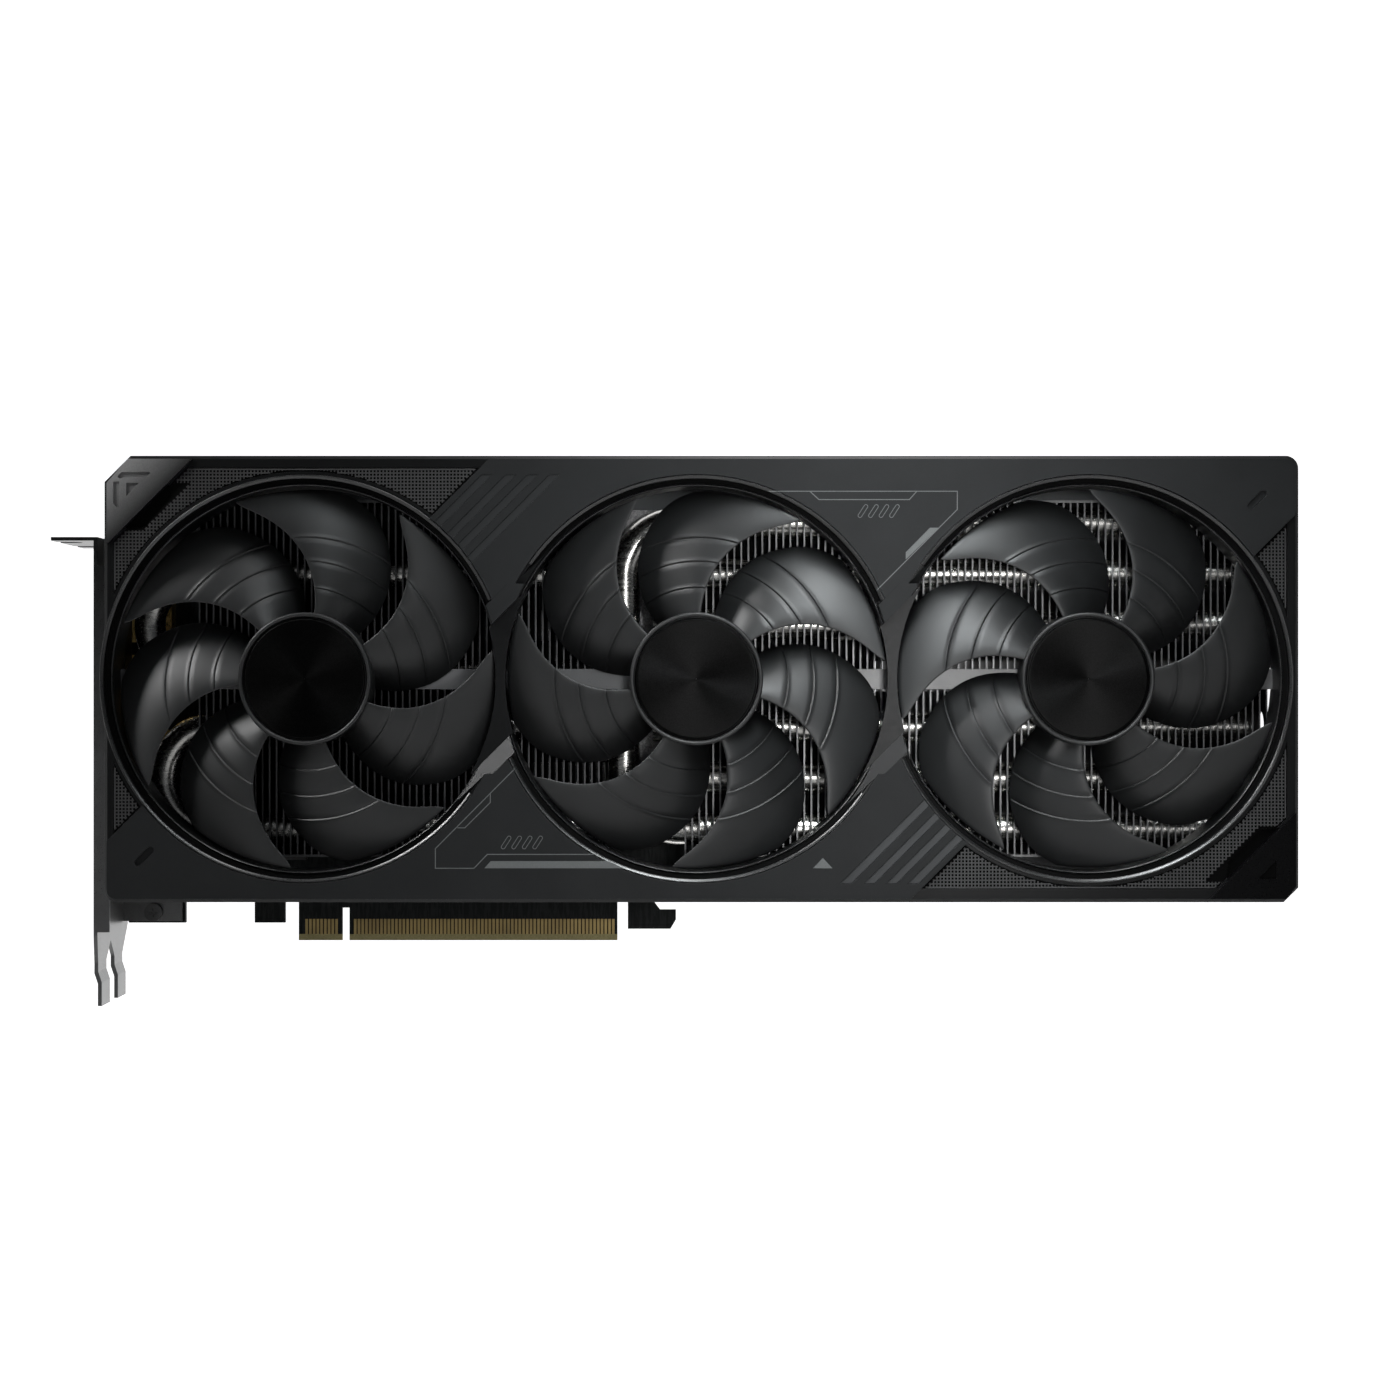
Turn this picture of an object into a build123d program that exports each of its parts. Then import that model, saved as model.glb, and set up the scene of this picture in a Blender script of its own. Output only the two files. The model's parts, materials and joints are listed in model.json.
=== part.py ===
from build123d import *
from math import cos, pi, radians, sin, sqrt
import os

# A three-fan graphics card, in millimetres. +X runs from the slot bracket to the free end,
# +Z is up from the slot edge, and the fans face -Y. The origin is the centre of the edge
# connector's bottom edge, on the circuit board's mid-plane. A "depth" is a distance behind
# the front face of the shroud.

# ---- overall ----
BOARD_DEPTH = 44.2          # depth of the circuit board's mid-plane
BOARD_THICKNESS = 1.6
BOARD_FRONT = BOARD_DEPTH - BOARD_THICKNESS / 2
BOARD_BACK = BOARD_DEPTH + BOARD_THICKNESS / 2
CARD_LEFT, CARD_RIGHT = -85.9, 216.0
CARD_BOTTOM, CARD_TOP = 13.1, 126.0

# ---- fans ----
FAN_CENTRES = {"left": -35.4, "middle": 63.8, "right": 163.0}
FAN_Z = 69.6
RIM_RADIUS = 51.0           # round opening in the shroud's front face
DUCT_RADIUS = 48.9          # bore that the blades turn in
DUCT_WALL = 1.5
BLADE_TIP = 48.1
HUB_RADIUS = 16.9
HUB_WALL = 1.5
BADGE_RADIUS = 15.7
BLADE_COUNT = 7
BLADE_WIDTH_DEG = 39
BLADE_FRONT, BLADE_BACK = 3.6, 13.4
BLADE_THICKNESS = 1.3
SHAFT_RADIUS = 1.5
RUNNING_CLEARANCE = 0.03
BEARING_RADIUS = 2.8
TUBE_RADIUS = 3.6
MAGNET_THICKNESS = 1.5
STATOR_GAP = 0.5
SEAT_GAP = 0.02             # hairline between pieces that are pressed together

# ---- shroud ----
BASE_FRONT, BASE_BACK = 1.0, 3.4
WALL = 2.0
WALL_BACK = 27.0
RIM_FLOOR_FRONT, RIM_FLOOR_BACK = 4.4, 6.0
DUCT_BACK = 16.5
ARM_FRONT = 14.0
ARM_HALF_HEIGHT = 2.6
BAND_LOW, BAND_HIGH = -113.6, 103.9       # X - Z of the raised middle band's two ends
CAP_LOW, CAP_HIGH = -188.6, 179.3         # X - Z of the two corner caps' inner edges
CORNER_MESH_LOW, CORNER_MESH_HIGH = -187.9, 178.6
CORNER_POCKETS = [
    [(-69.5, 119.1), (-68.7, 115.8), (-75.5, 107.9), (-80.9, 107.7)],
    [(197.9, 18.6), (198.1, 23.4), (206.3, 31.6), (211.2, 31.9)],
]
POCKET_FLOOR = 2.7
WAISTS = [((-77.5, -71.2), (-38.7, -33.1), 14.2), ((21.4, 27.6), (60.2, 65.8), 113.4)]
WAIST_FLOOR = 2.2
WAIST_RADIUS = 49.4         # the openings are narrower where the sloped waists reach them
WEB_RADIUS = 48.4
WEB_BACK = 3.2
WAIST_HALF_WIDTH = 24.0
STRIPES = [(82.2, 85.0), (88.2, 90.8), (93.8, 96.4), (99.2, 102.0)]
FAINT_STRIPES = [(-111.5, -108.7), (-105.4, -102.7), (-99.9, -97.2), (-94.4, -91.7)]
ENGRAVING = 0.35

# ---- heat sink ----
FIN_PITCH = 1.81
FIN_THICKNESS = 0.4
FIN_FRONT, FIN_BACK = 17.5, 38.5
FIN_BOTTOM, FIN_TOP = 23.7, 115.8
LEFT_FINS = (-64.8, 40.2)
RIGHT_FINS = (60.7, 212.0)
FIN_SHEET = 0.6
STRIP_DEPTHS = (30.0, 30.5)  # folded strips that tie the fins together between the pipes
STRIP_HALF = 2.65
PIPE_RADIUS = 4.0
PIPE_SLACK = 0.05
PIPE_DEPTH = 24.5
PIPE_MIDDLE_Z = 70.5
PIPE_ROW = 13.3
PIPE_BEND = 14.0
PIPE_END = 207.0
RISER_X = 45.0
RISER_END = 9.5             # height of the riser's end over the middle row
STRAIGHT_PIPE_START = 52.5
PLATE_BACK = 41.0
GPU_CENTRE = (22.0, 70.5)
RETENTION_REACH = 29.0      # screw distance from the chip's centre, each way

# ---- board, slot edge and bracket ----
BLADE_HALF = 42.6
BRACKET_X = (-90.3, -89.3)
BRACKET_NEAR, BRACKET_FAR = 9.5, 48.2
TAB_X = -101.2
TAB_Z = (105.0, 105.9)
TONGUE_WIDTH = 10.2
TONGUE_DEPTHS = (15.6, 35.9)
PORT_DEPTHS = (37.4, 43.4)
PORT_X = (-90.5, -75.5)
DISPLAY_PORT_Z = [(39.8, 56.3), (59.7, 76.2), (79.6, 96.1)]
HDMI_Z = (20.6, 35.8)
POWER_X = (70.0, 94.0)
POWER_Z = (100.5, 116.5)
POWER_DEPTHS = (32.4, 43.4)
BACKPLATE_FRONT, BACKPLATE_BACK = 48.2, 49.4
BACKPLATE_SCREWS = [(-78, 18), (-78, 106), (-30, 18), (-30, 106), (38, 20), (58, 108), (94, 20), (94, 94)]
VENT_COUNT, VENT_START, VENT_PITCH = 15, 112.0, 6.0
VENT_LEAN = 72
SCREW_RADIUS = 1.25


def row(number):
    """Height of a heat-pipe row, counted up and down from the middle one."""
    return PIPE_MIDDLE_Z + PIPE_ROW * number


def front_plane(depth):
    """Plane that faces the fan side, with X to the right and Z up."""
    return Plane(origin=(0, depth - BOARD_DEPTH, 0), x_dir=(1, 0, 0), z_dir=(0, -1, 0))


def slab(outline, near, far):
    """A front-view outline made solid between two depths."""
    return extrude(front_plane(far) * outline, far - near)


def block(x_range, depths, z_range):
    """A box between two values each of X, depth and Z."""
    size = (x_range[1] - x_range[0], depths[1] - depths[0], z_range[1] - z_range[0])
    middle = (sum(x_range) / 2, sum(depths) / 2 - BOARD_DEPTH, sum(z_range) / 2)
    return Pos(*middle) * Box(*size)


def disc(x, z, radius, near, far):
    """A short cylinder along the depth direction."""
    return slab(Pos(x, z) * Circle(radius), near, far)


def ring(x, z, outer, inner, near, far):
    """A short tube along the depth direction."""
    return slab(Pos(x, z) * (Circle(outer) - Circle(inner)), near, far)


def outline(points):
    """A face from a list of front-view points."""
    return make_face(Polyline(*points, close=True))


def diagonal_band(low, high):
    """The strip of the front view where X - Z lies between two values."""
    reach = 400
    return outline([(low - reach, -reach), (high - reach, -reach), (high + reach, reach), (low + reach, reach)])


def front_rectangle(x0, x1, z0, z1):
    """A rectangle of the front view."""
    return outline([(x0, z0), (x1, z0), (x1, z1), (x0, z1)])


def pieces(solids):
    """Several separate solids as one node."""
    return Compound(children=[part for item in solids for part in item.solids()])


# ---------------------------------------------------------------- shroud

def shroud_outline(inset):
    """The shroud's front outline, moved in by a distance, with two rounded corners."""
    left, right = CARD_LEFT + inset, CARD_RIGHT - inset
    bottom, top = CARD_BOTTOM + inset, CARD_TOP - inset
    cut = inset * (sqrt(2) - 1)
    points = [(left, bottom), (212.3 + cut, bottom), (right, 16.8 + cut), (right, top)]
    points += [(-79.3 - cut, top), (left, 119.4 - cut)]
    face = outline(points)
    for corner, radius in (((right, top, 0), 3.2), ((left, bottom, 0), 3.2)):
        nearest = face.vertices().sort_by_distance(corner)[0]
        face = fillet(nearest, radius - inset)
    return face


def fan_circles(radius):
    """One circle round each fan's axis."""
    circles = [Pos(x, FAN_Z) * Circle(radius) for x in FAN_CENTRES.values()]
    return circles[0] + circles[1] + circles[2]


def waist_zone(waist, outer):
    """The slanted zone between two fans: the waist's floor, with its two facets when outer."""
    upper, lower, middle = waist
    low, high = (upper[0], lower[1]) if outer else (upper[1], lower[0])
    return diagonal_band(low, high) & waist_window(middle)


def fan_openings(radius, waist_radius):
    """The round openings over the fans, narrower in the waists."""
    wide = fan_circles(radius)
    for waist in WAISTS:
        wide -= waist_zone(waist, True)
    return wide + fan_circles(waist_radius)


def waist_slopes():
    """Wedges that slope the front down into the narrow waist between two fans."""
    wedges = []
    for upper, lower, middle in WAISTS:
        for high_edge, low_edge in (upper, lower[::-1]):
            wedges.append(slope_wedge(high_edge, low_edge, middle))
        wedges.append(slab(waist_zone((upper, lower, middle), False), -1, WAIST_FLOOR))
    return wedges


def waist_window(middle):
    """The square of the front view that holds one waist."""
    reach = WAIST_HALF_WIDTH
    return front_rectangle(middle - reach, middle + reach, FAN_Z - reach, FAN_Z + reach)


def slope_wedge(high_edge, low_edge, middle):
    """The space over one facet, which falls from the front at high_edge to the waist's floor."""
    above = 1.0
    front = -above - BOARD_DEPTH
    floor = WAIST_FLOOR - BOARD_DEPTH
    overshoot = above * (low_edge - high_edge) / WAIST_FLOOR
    profile = [(high_edge - overshoot, front), (low_edge, front), (low_edge, floor)]
    wire = Polyline(*[(x, y, 0) for x, y in profile], close=True)
    wedge = extrude(make_face(wire), FAN_Z + WAIST_HALF_WIDTH, dir=(1, 0, 1))
    window = slab(waist_window(middle), -2, BASE_BACK)
    return wedge & window


def shroud():
    """Front plate, four side walls and the three ducts that the fans turn in."""
    shell = slab(shroud_outline(0), BASE_FRONT, WALL_BACK)
    front_edges = shell.edges().group_by(Axis.Y)[0]
    shell = chamfer(front_edges, 0.9)
    shell -= slab(shroud_outline(WALL), BASE_BACK, WALL_BACK + 1)
    inside = slab(shroud_outline(WALL), 0, WALL_BACK)
    ducts = slab(fan_circles(RIM_RADIUS + DUCT_WALL), BASE_FRONT, RIM_FLOOR_BACK)
    ducts += slab(fan_circles(DUCT_RADIUS + DUCT_WALL), RIM_FLOOR_FRONT, DUCT_BACK)
    shell += ducts & inside
    shell -= slab(fan_openings(RIM_RADIUS, WAIST_RADIUS), -1, RIM_FLOOR_FRONT)
    for x in FAN_CENTRES.values():
        shell -= disc(x, FAN_Z, DUCT_RADIUS, -1, DUCT_BACK + 1)
        shell -= block((x - 50.0, x + 50.0), (ARM_FRONT, DUCT_BACK + 1), (FAN_Z - 2.7, FAN_Z + 2.7))
    for wedge in waist_slopes():
        shell -= wedge
    for waist in WAISTS:
        shell += slab(waist_zone(waist, False) - fan_circles(WEB_RADIUS), WAIST_FLOOR, WEB_BACK)
    for zone in mesh_zones(0):
        shell -= slab(zone, 0, BASE_FRONT + 0.9)
    for pocket in CORNER_POCKETS:
        shell -= slab(outline(pocket), 0, POCKET_FLOOR)
    return shell


def mesh_zones(inset):
    """The four fields of fine mesh at the card's two ends."""
    field = front_rectangle(-83.4 + inset, 213.0 - inset, 16.6 + inset, 122.9 - inset)
    lean = inset * sqrt(2)
    low = diagonal_band(CORNER_MESH_LOW + lean, BAND_LOW - lean)
    high = diagonal_band(BAND_HIGH + lean, CORNER_MESH_HIGH - lean)
    zones = field & (low + high)
    zones -= fan_circles(RIM_RADIUS + 1.4 + inset)
    for pocket in CORNER_POCKETS:
        zones -= outline(pocket)
    return [face for face in zones.faces() if face.area > 4]


def mesh_grilles():
    """A thin mesh sheet in each field."""
    return pieces([slab(zone, 1.3, 1.9) for zone in mesh_zones(0.1)])


def raised_panels():
    """The raised middle band of the front, as an upper and a lower trim panel."""
    face = shroud_outline(0.9) & diagonal_band(BAND_LOW, BAND_HIGH)
    face -= fan_openings(RIM_RADIUS + 0.6, WAIST_RADIUS + 0.2)
    for waist in WAISTS:
        face -= waist_zone(waist, False)
    solid = slab(face, 0, BASE_FRONT)
    for wedge in waist_slopes():
        solid -= wedge
    cuts = [slab(diagonal_band(*stripe) & front_rectangle(60, 140, 17.9, 60), -1, ENGRAVING) for stripe in STRIPES]
    cuts += [
        slab(diagonal_band(*stripe) & front_rectangle(-40, 40, 80, 121.1), -1, ENGRAVING / 2)
        for stripe in FAINT_STRIPES
    ]
    for x, z in [(-75.5, 24.8), (205.2, 114.7)]:
        cuts.append(slab(Pos(x, z) * Rot(0, 0, 45) * SlotOverall(6.1, 1.8), -1, 0.7))
    for cut in cuts:
        solid -= cut
    upper = [part for part in solid.solids() if part.center().Z > FAN_Z]
    lower = [part for part in solid.solids() if part.center().Z <= FAN_Z]
    return pieces(upper), pieces(lower)


def corner_caps():
    """The cap on the bracket end's top corner and on the free end's bottom corner, with sunk shapes."""
    face = shroud_outline(0.9)
    left = slab(face & diagonal_band(-400, CAP_LOW), 0, BASE_FRONT)
    right = slab(face & diagonal_band(CAP_HIGH, 400), 0, BASE_FRONT)
    for points in (
        [(-80.9, 120.3), (-74.9, 120.3), (-74.0, 121.7), (-81.2, 121.7), (-82.2, 120.7), (-81.8, 120.1)],
        [(-83.3, 114.0), (-82.6, 113.0), (-81.8, 113.0), (-81.8, 119.3), (-83.3, 119.3)],
        [(-80.0, 119.0), (-80.0, 115.6), (-76.9, 119.0)],
    ):
        left -= slab(outline(points), -1, 0.5)
    right -= slab(outline([(205.5, 19.1), (210.2, 19.1), (210.2, 23.9)]), -1, 0.5)
    return left, right


# ---------------------------------------------------------------- fans

def blade(direction):
    """One swept, pitched fan blade, from inside the hub to past the duct's radius."""
    sections = []
    for radius, sweep, rise in [(14.0, 0, 9.3), (24.0, 3, 9.3), (36.0, 13, 8.2), (50.0, 33, 6.4)]:
        angle = radians(90 + direction * sweep)
        chord = radius * radians(BLADE_WIDTH_DEG)
        place = (radius * cos(angle), (BLADE_FRONT + BLADE_BACK) / 2 - BOARD_DEPTH, radius * sin(angle))
        outward = (cos(angle), 0, sin(angle))
        along = Vector(-sin(angle), -direction * rise / chord, cos(angle))
        sections.append(Plane(origin=place, x_dir=along, z_dir=outward) * Rectangle(chord, BLADE_THICKNESS))
    return loft(sections, ruled=True)


def rotor(direction):
    """Hub cup and blades of one fan, on the Y axis. direction is 1 or -1 for the blades' hand."""
    blades = blade(direction)
    annulus = ring(0, 0, BLADE_TIP, HUB_RADIUS - 0.7, BLADE_FRONT - 1, BLADE_BACK)
    blades = blades & annulus
    cup = disc(0, 0, HUB_RADIUS, 2.2, 12.9)
    cup -= disc(0, 0, HUB_RADIUS - HUB_WALL, 4.6, 13)
    cup -= disc(0, 0, BADGE_RADIUS + 0.1, 2, 3.2)
    cup += ring(0, 0, 3.4, SHAFT_RADIUS + SEAT_GAP, 4.6, 6.2)
    for number in range(BLADE_COUNT):
        cup += Rot(0, 360 / BLADE_COUNT * number, 0) * blades
    return cup


def at_fan(x, part):
    """A part that was made on the Y axis, moved onto a fan's axis."""
    return Pos(x, 0, FAN_Z) * part


def hub_badge():
    """Plain disc on the hub's front, with a shallow turned step at its edge."""
    return disc(0, 0, BADGE_RADIUS, 2.7, 3.2) + disc(0, 0, BADGE_RADIUS - 0.6, 2.5, 3.2)


def magnet_ring():
    """Ring magnet pressed into the hub cup."""
    outer = HUB_RADIUS - HUB_WALL - SEAT_GAP
    return ring(0, 0, outer, outer - MAGNET_THICKNESS, 5.5, 12.4)


def fan_shaft():
    """Steel shaft, fixed in the hub and turning in the bearing."""
    return disc(0, 0, SHAFT_RADIUS, 4.6, 13.6)


def fan_bearing():
    """Sleeve bearing."""
    return ring(0, 0, BEARING_RADIUS, SHAFT_RADIUS + RUNNING_CLEARANCE, 6.6, 13.9)


def fan_stator():
    """Laminated core with four poles."""
    outer = HUB_RADIUS - HUB_WALL - SEAT_GAP - MAGNET_THICKNESS - STATOR_GAP
    core = Circle(outer) - Circle(outer - 1.4)
    gaps = Rectangle(2 * outer, 2.2) + Rectangle(2.2, 2 * outer)
    core -= Rot(0, 0, 45) * gaps
    core += Rectangle(2 * outer - 1, 3.0) + Rectangle(3.0, 2 * outer - 1) + Circle(5.4)
    core -= Circle(TUBE_RADIUS + SEAT_GAP)
    return slab(core, 7.4, 11.4)


def fan_windings():
    """One copper coil round each pole."""
    coils = []
    for number in range(4):
        loop = block((6.0, 11.0), (6.6, 12.2), (-3.0, 3.0)) - block((5.0, 12.0), (7.3, 11.5), (-1.6, 1.6))
        coils.append(Pos(0, -BOARD_DEPTH, 0) * Rot(0, 90 * number, 0) * Pos(0, BOARD_DEPTH, 0) * loop)
    return coils


def fan_circuit_board():
    """Small ring board behind the coils."""
    return ring(0, 0, 12.6, TUBE_RADIUS + SEAT_GAP, 12.5, 13.3)


def fan_frame():
    """Round motor plate, bearing tube and two level arms that drop into the duct wall."""
    reach = 49.4
    plate = ring(0, 0, 14.5, SHAFT_RADIUS, ARM_FRONT, 15.6)
    plate += ring(0, 0, TUBE_RADIUS, BEARING_RADIUS + SEAT_GAP, 7.0, ARM_FRONT)
    plate += ring(0, 0, 14.5, 13.5, 12.9 + 0.4, ARM_FRONT)
    for side in (-1, 1):
        span = sorted((side * 13.8, side * reach))
        plate += block(span, (ARM_FRONT, DUCT_BACK), (-ARM_HALF_HEIGHT, ARM_HALF_HEIGHT))
    return plate


# ---------------------------------------------------------------- heat sink

def pipe_line(points, bends):
    """A round pipe along a path in the pipes' plane, with a tangent arc at each corner."""
    path = Line(*points) if len(points) == 2 else FilletPolyline(*points, radius=bends)
    wire = front_plane(PIPE_DEPTH) * path
    start = Plane(origin=wire @ 0, z_dir=wire % 0)
    return sweep(start * Circle(PIPE_RADIUS), wire)


def outer_pipe(side):
    """Pipe that rises or falls from the middle of the gap, then runs along an outer row."""
    z = row(3 * side)
    points = [(RISER_X, PIPE_MIDDLE_Z + side * RISER_END), (RISER_X, z), (PIPE_END, z)]
    return pipe_line(points, PIPE_BEND)


def loop_pipe(upper, lower, centre_x):
    """Pipe of two level runs in the left fins, joined by a half-round bend at the bracket end."""
    end_x = 37.0
    points = [(end_x, row(upper)), (centre_x - PIPE_ROW, row(upper))]
    points += [(centre_x - PIPE_ROW, row(lower)), (end_x, row(lower))]
    return pipe_line(points, PIPE_ROW - 0.001)


def straight_pipes():
    """Four level pipes in the right fins."""
    return [pipe_line([(STRAIGHT_PIPE_START, row(k)), (PIPE_END, row(k))], None) for k in (-2, -1, 1, 2)]


def fin_stack(span, rows):
    """Thin upright fins joined by a sheet above and below and by cross strips between the pipes."""
    face = front_rectangle(span[0], span[1], FIN_BOTTOM, FIN_TOP)
    gap = FIN_PITCH - FIN_THICKNESS
    count = int((span[1] - span[0]) / FIN_PITCH)
    middle_z = (FIN_BOTTOM + FIN_TOP) / 2
    slot = Rectangle(gap, FIN_TOP - FIN_BOTTOM - 2 * FIN_SHEET)
    slots = [Pos(span[0] + FIN_THICKNESS + gap / 2 + FIN_PITCH * n, middle_z) * slot for n in range(count)]
    last = span[0] + count * FIN_PITCH + FIN_THICKNESS
    face = face & front_rectangle(span[0], last, FIN_BOTTOM, FIN_TOP)
    stack = slab(face - Sketch(children=slots), FIN_FRONT, FIN_BACK)
    for number in range(-3, 3):
        z = row(number) + PIPE_ROW / 2
        stack += block((span[0], last), STRIP_DEPTHS, (z - STRIP_HALF, z + STRIP_HALF))
    for number in rows:
        bore = Cylinder(PIPE_RADIUS + PIPE_SLACK, 400, rotation=(0, 90, 0))
        stack -= Pos(60, PIPE_DEPTH - BOARD_DEPTH, row(number)) * bore
    return stack


def left_fin_stack():
    """Fins over the board's left half, cut back where the lower loop bends."""
    stack = fin_stack(LEFT_FINS, (2, 0, -1, -3))
    reach = PIPE_RADIUS + 0.3
    bend = block((-70.0, -61.2), (PIPE_DEPTH - reach, PIPE_DEPTH + reach), (row(-3) - reach, row(-1) + reach))
    return stack - bend


def right_fin_stack():
    """Fins out to the free end, cut back round the power inlet."""
    stack = fin_stack(RIGHT_FINS, (3, 2, 1, -1, -2, -3))
    return stack - block((POWER_X[0] - 1.5, POWER_X[1] + 1.5), (POWER_DEPTHS[0] - 1.4, 60), (99.0, 130))


def retention_points():
    """The four spring-loaded screws round the chip."""
    x, z = GPU_CENTRE
    return [(x + i * RETENTION_REACH, z + j * RETENTION_REACH) for i in (-1, 1) for j in (-1, 1)]


def drill(part, points, radius):
    """Round holes through a part, along the depth direction."""
    for x, z in points:
        part -= disc(x, z, radius, -5, 60)
    return part


def cold_plate():
    """Plated copper plate over the chip and the memory."""
    plate = block((-24.0, 66.0), (FIN_BACK, PLATE_BACK), (34.0, 107.0))
    return drill(plate, retention_points(), SCREW_RADIUS + SEAT_GAP)


def pipe_block():
    """Rough aluminium block under the pipes, in the gap between the two fin stacks."""
    front = PIPE_DEPTH + PIPE_RADIUS + PIPE_SLACK
    upright = block((41.2, 60.0), (front, FIN_BACK), (27.0, 114.0))
    return drill(upright, retention_points(), SCREW_RADIUS + 0.4)


# ---------------------------------------------------------------- circuit board

def circuit_board():
    """Board with the slot blade, its key notch, the latch hook and two feet at the bottom edge."""
    face = front_rectangle(-88.1, 100.0, 11.5, 112.0)
    face += front_rectangle(-88.1, -72.8, 4.7, 12.0)
    face += front_rectangle(-54.4, -46.2, 4.7, 12.0)
    face += front_rectangle(-BLADE_HALF, BLADE_HALF, 0, 12.0)
    face -= front_rectangle(-30.95, -29.05, -1, 8.7)
    face += outline([(45.4, 12), (45.4, 3.05), (56.8, 3.05), (58.25, 5.5), (58.25, 8.2), (54, 8.2), (52.45, 10.2), (52.45, 12)])
    face -= front_rectangle(42.6, 45.4, 9.4, 11.6)
    board = slab(face, BOARD_FRONT, BOARD_BACK)
    board = drill(board, retention_points(), SCREW_RADIUS + 0.25)
    board = drill(board, BACKPLATE_SCREWS, SCREW_RADIUS + 0.25)
    return drill(board, [(-81.1, 7.6)], SCREW_RADIUS + 0.1)


def edge_contacts():
    """Gold contact strips on both faces of the slot blade."""
    fingers = []
    for number in range(-41, 42):
        x = number + 0.5
        if -32.0 < x < -28.0 or abs(x) > 41.9:
            continue
        for depths in ((BOARD_FRONT - 0.05, BOARD_FRONT), (BOARD_BACK, BOARD_BACK + 0.05)):
            fingers.append(block((x - 0.35, x + 0.35), depths, (1.66, 5.7)))
    return fingers


def chips_on_board(places, size, height):
    """Square-cornered parts that stand on the board's front, given by their centres."""
    width, tall = size
    parts = []
    for x, z in places:
        span = (x - width / 2, x + width / 2)
        parts.append(block(span, (BOARD_FRONT - height, BOARD_FRONT), (z - tall / 2, z + tall / 2)))
    return parts


def memory_places():
    """Memory chips on three sides of the main chip."""
    x, z = GPU_CENTRE
    side = [(x - 33.0, z + offset) for offset in (-18.0, 0.0, 18.0)]
    upper = [(x - 12.0, z + 30.0), (x + 12.0, z + 30.0)]
    lower = [(x - 12.0, z - 30.0), (x + 12.0, z - 30.0)]
    return side + upper + lower + [(x + 33.0, z)]


def inductor_places():
    """Two columns of power inductors."""
    return [(-44.0, 26.0 + 10.0 * n) for n in range(8)] + [(84.0, 32.0 + 10.0 * n) for n in range(5)]


def stage_places():
    """A power stage beside each inductor."""
    return [(x + (8.0 if x < 0 else -8.0), z) for x, z in inductor_places()]


def capacitors():
    """Round polymer capacitors beside the inductors."""
    places = [(x + (-8.5 if x < 0 else 8.5), z) for x, z in inductor_places()]
    return [disc(x, z, 3.0, BOARD_FRONT - 4.3, BOARD_FRONT) for x, z in places]


def thermal_pads():
    """Soft pads on the memory, between the chips and the cold plate."""
    return [
        block((x - 5.5, x + 5.5), (PLATE_BACK, BOARD_FRONT - 1.2), (z - 6.0, z + 6.0))
        for x, z in memory_places()
    ]


def power_connector():
    """Open-topped housing of the power inlet, with side wings for the latch."""
    shell = block(POWER_X, POWER_DEPTHS, POWER_Z)
    cavity = block((POWER_X[0] + 1.2, POWER_X[1] - 1.2), (POWER_DEPTHS[0] + 1.5, POWER_DEPTHS[1] - 2.5), (104.5, 120))
    latch = block((78.5, 85.5), (POWER_DEPTHS[0] - 1.0, POWER_DEPTHS[0]), (108.0, 113.0))
    return shell - cavity + latch


def power_pins():
    """Two rows of six round contact pins and a row of four small sense pins."""
    pins = []
    for number in range(6):
        x = 74.5 + 3.0 * number
        for depth in (35.9, 38.9):
            pins.append(Pos(x, depth - BOARD_DEPTH, 108.0) * Cylinder(0.6, 7.0))
    return pins


# ---------------------------------------------------------------- display outputs and bracket

def port_shell(z_range):
    """Folded metal shell of a display output, open towards the outside."""
    shell = block(PORT_X, PORT_DEPTHS, z_range)
    wall = 0.5
    hollow = block(
        (PORT_X[0] - 1, PORT_X[1] - 3.0),
        (PORT_DEPTHS[0] + wall, PORT_DEPTHS[1] - wall),
        (z_range[0] + wall, z_range[1] - wall),
    )
    return shell - hollow


def port_tongue(z_range, width):
    """Plastic contact tongue inside an output."""
    middle = sum(z_range) / 2
    depth = sum(PORT_DEPTHS) / 2
    return block((PORT_X[0] + 1.5, PORT_X[1] - 3.0), (depth - 0.6, depth + 0.6), (middle - width / 2, middle + width / 2))


def side_face(points):
    """A face seen from the bracket's end, from (depth, Z) points."""
    plane = Plane(origin=(0, 0, 0), x_dir=(0, 1, 0), z_dir=(1, 0, 0))
    return plane * make_face(Polyline(*[(d - BOARD_DEPTH, z) for d, z in points], close=True))


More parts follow.
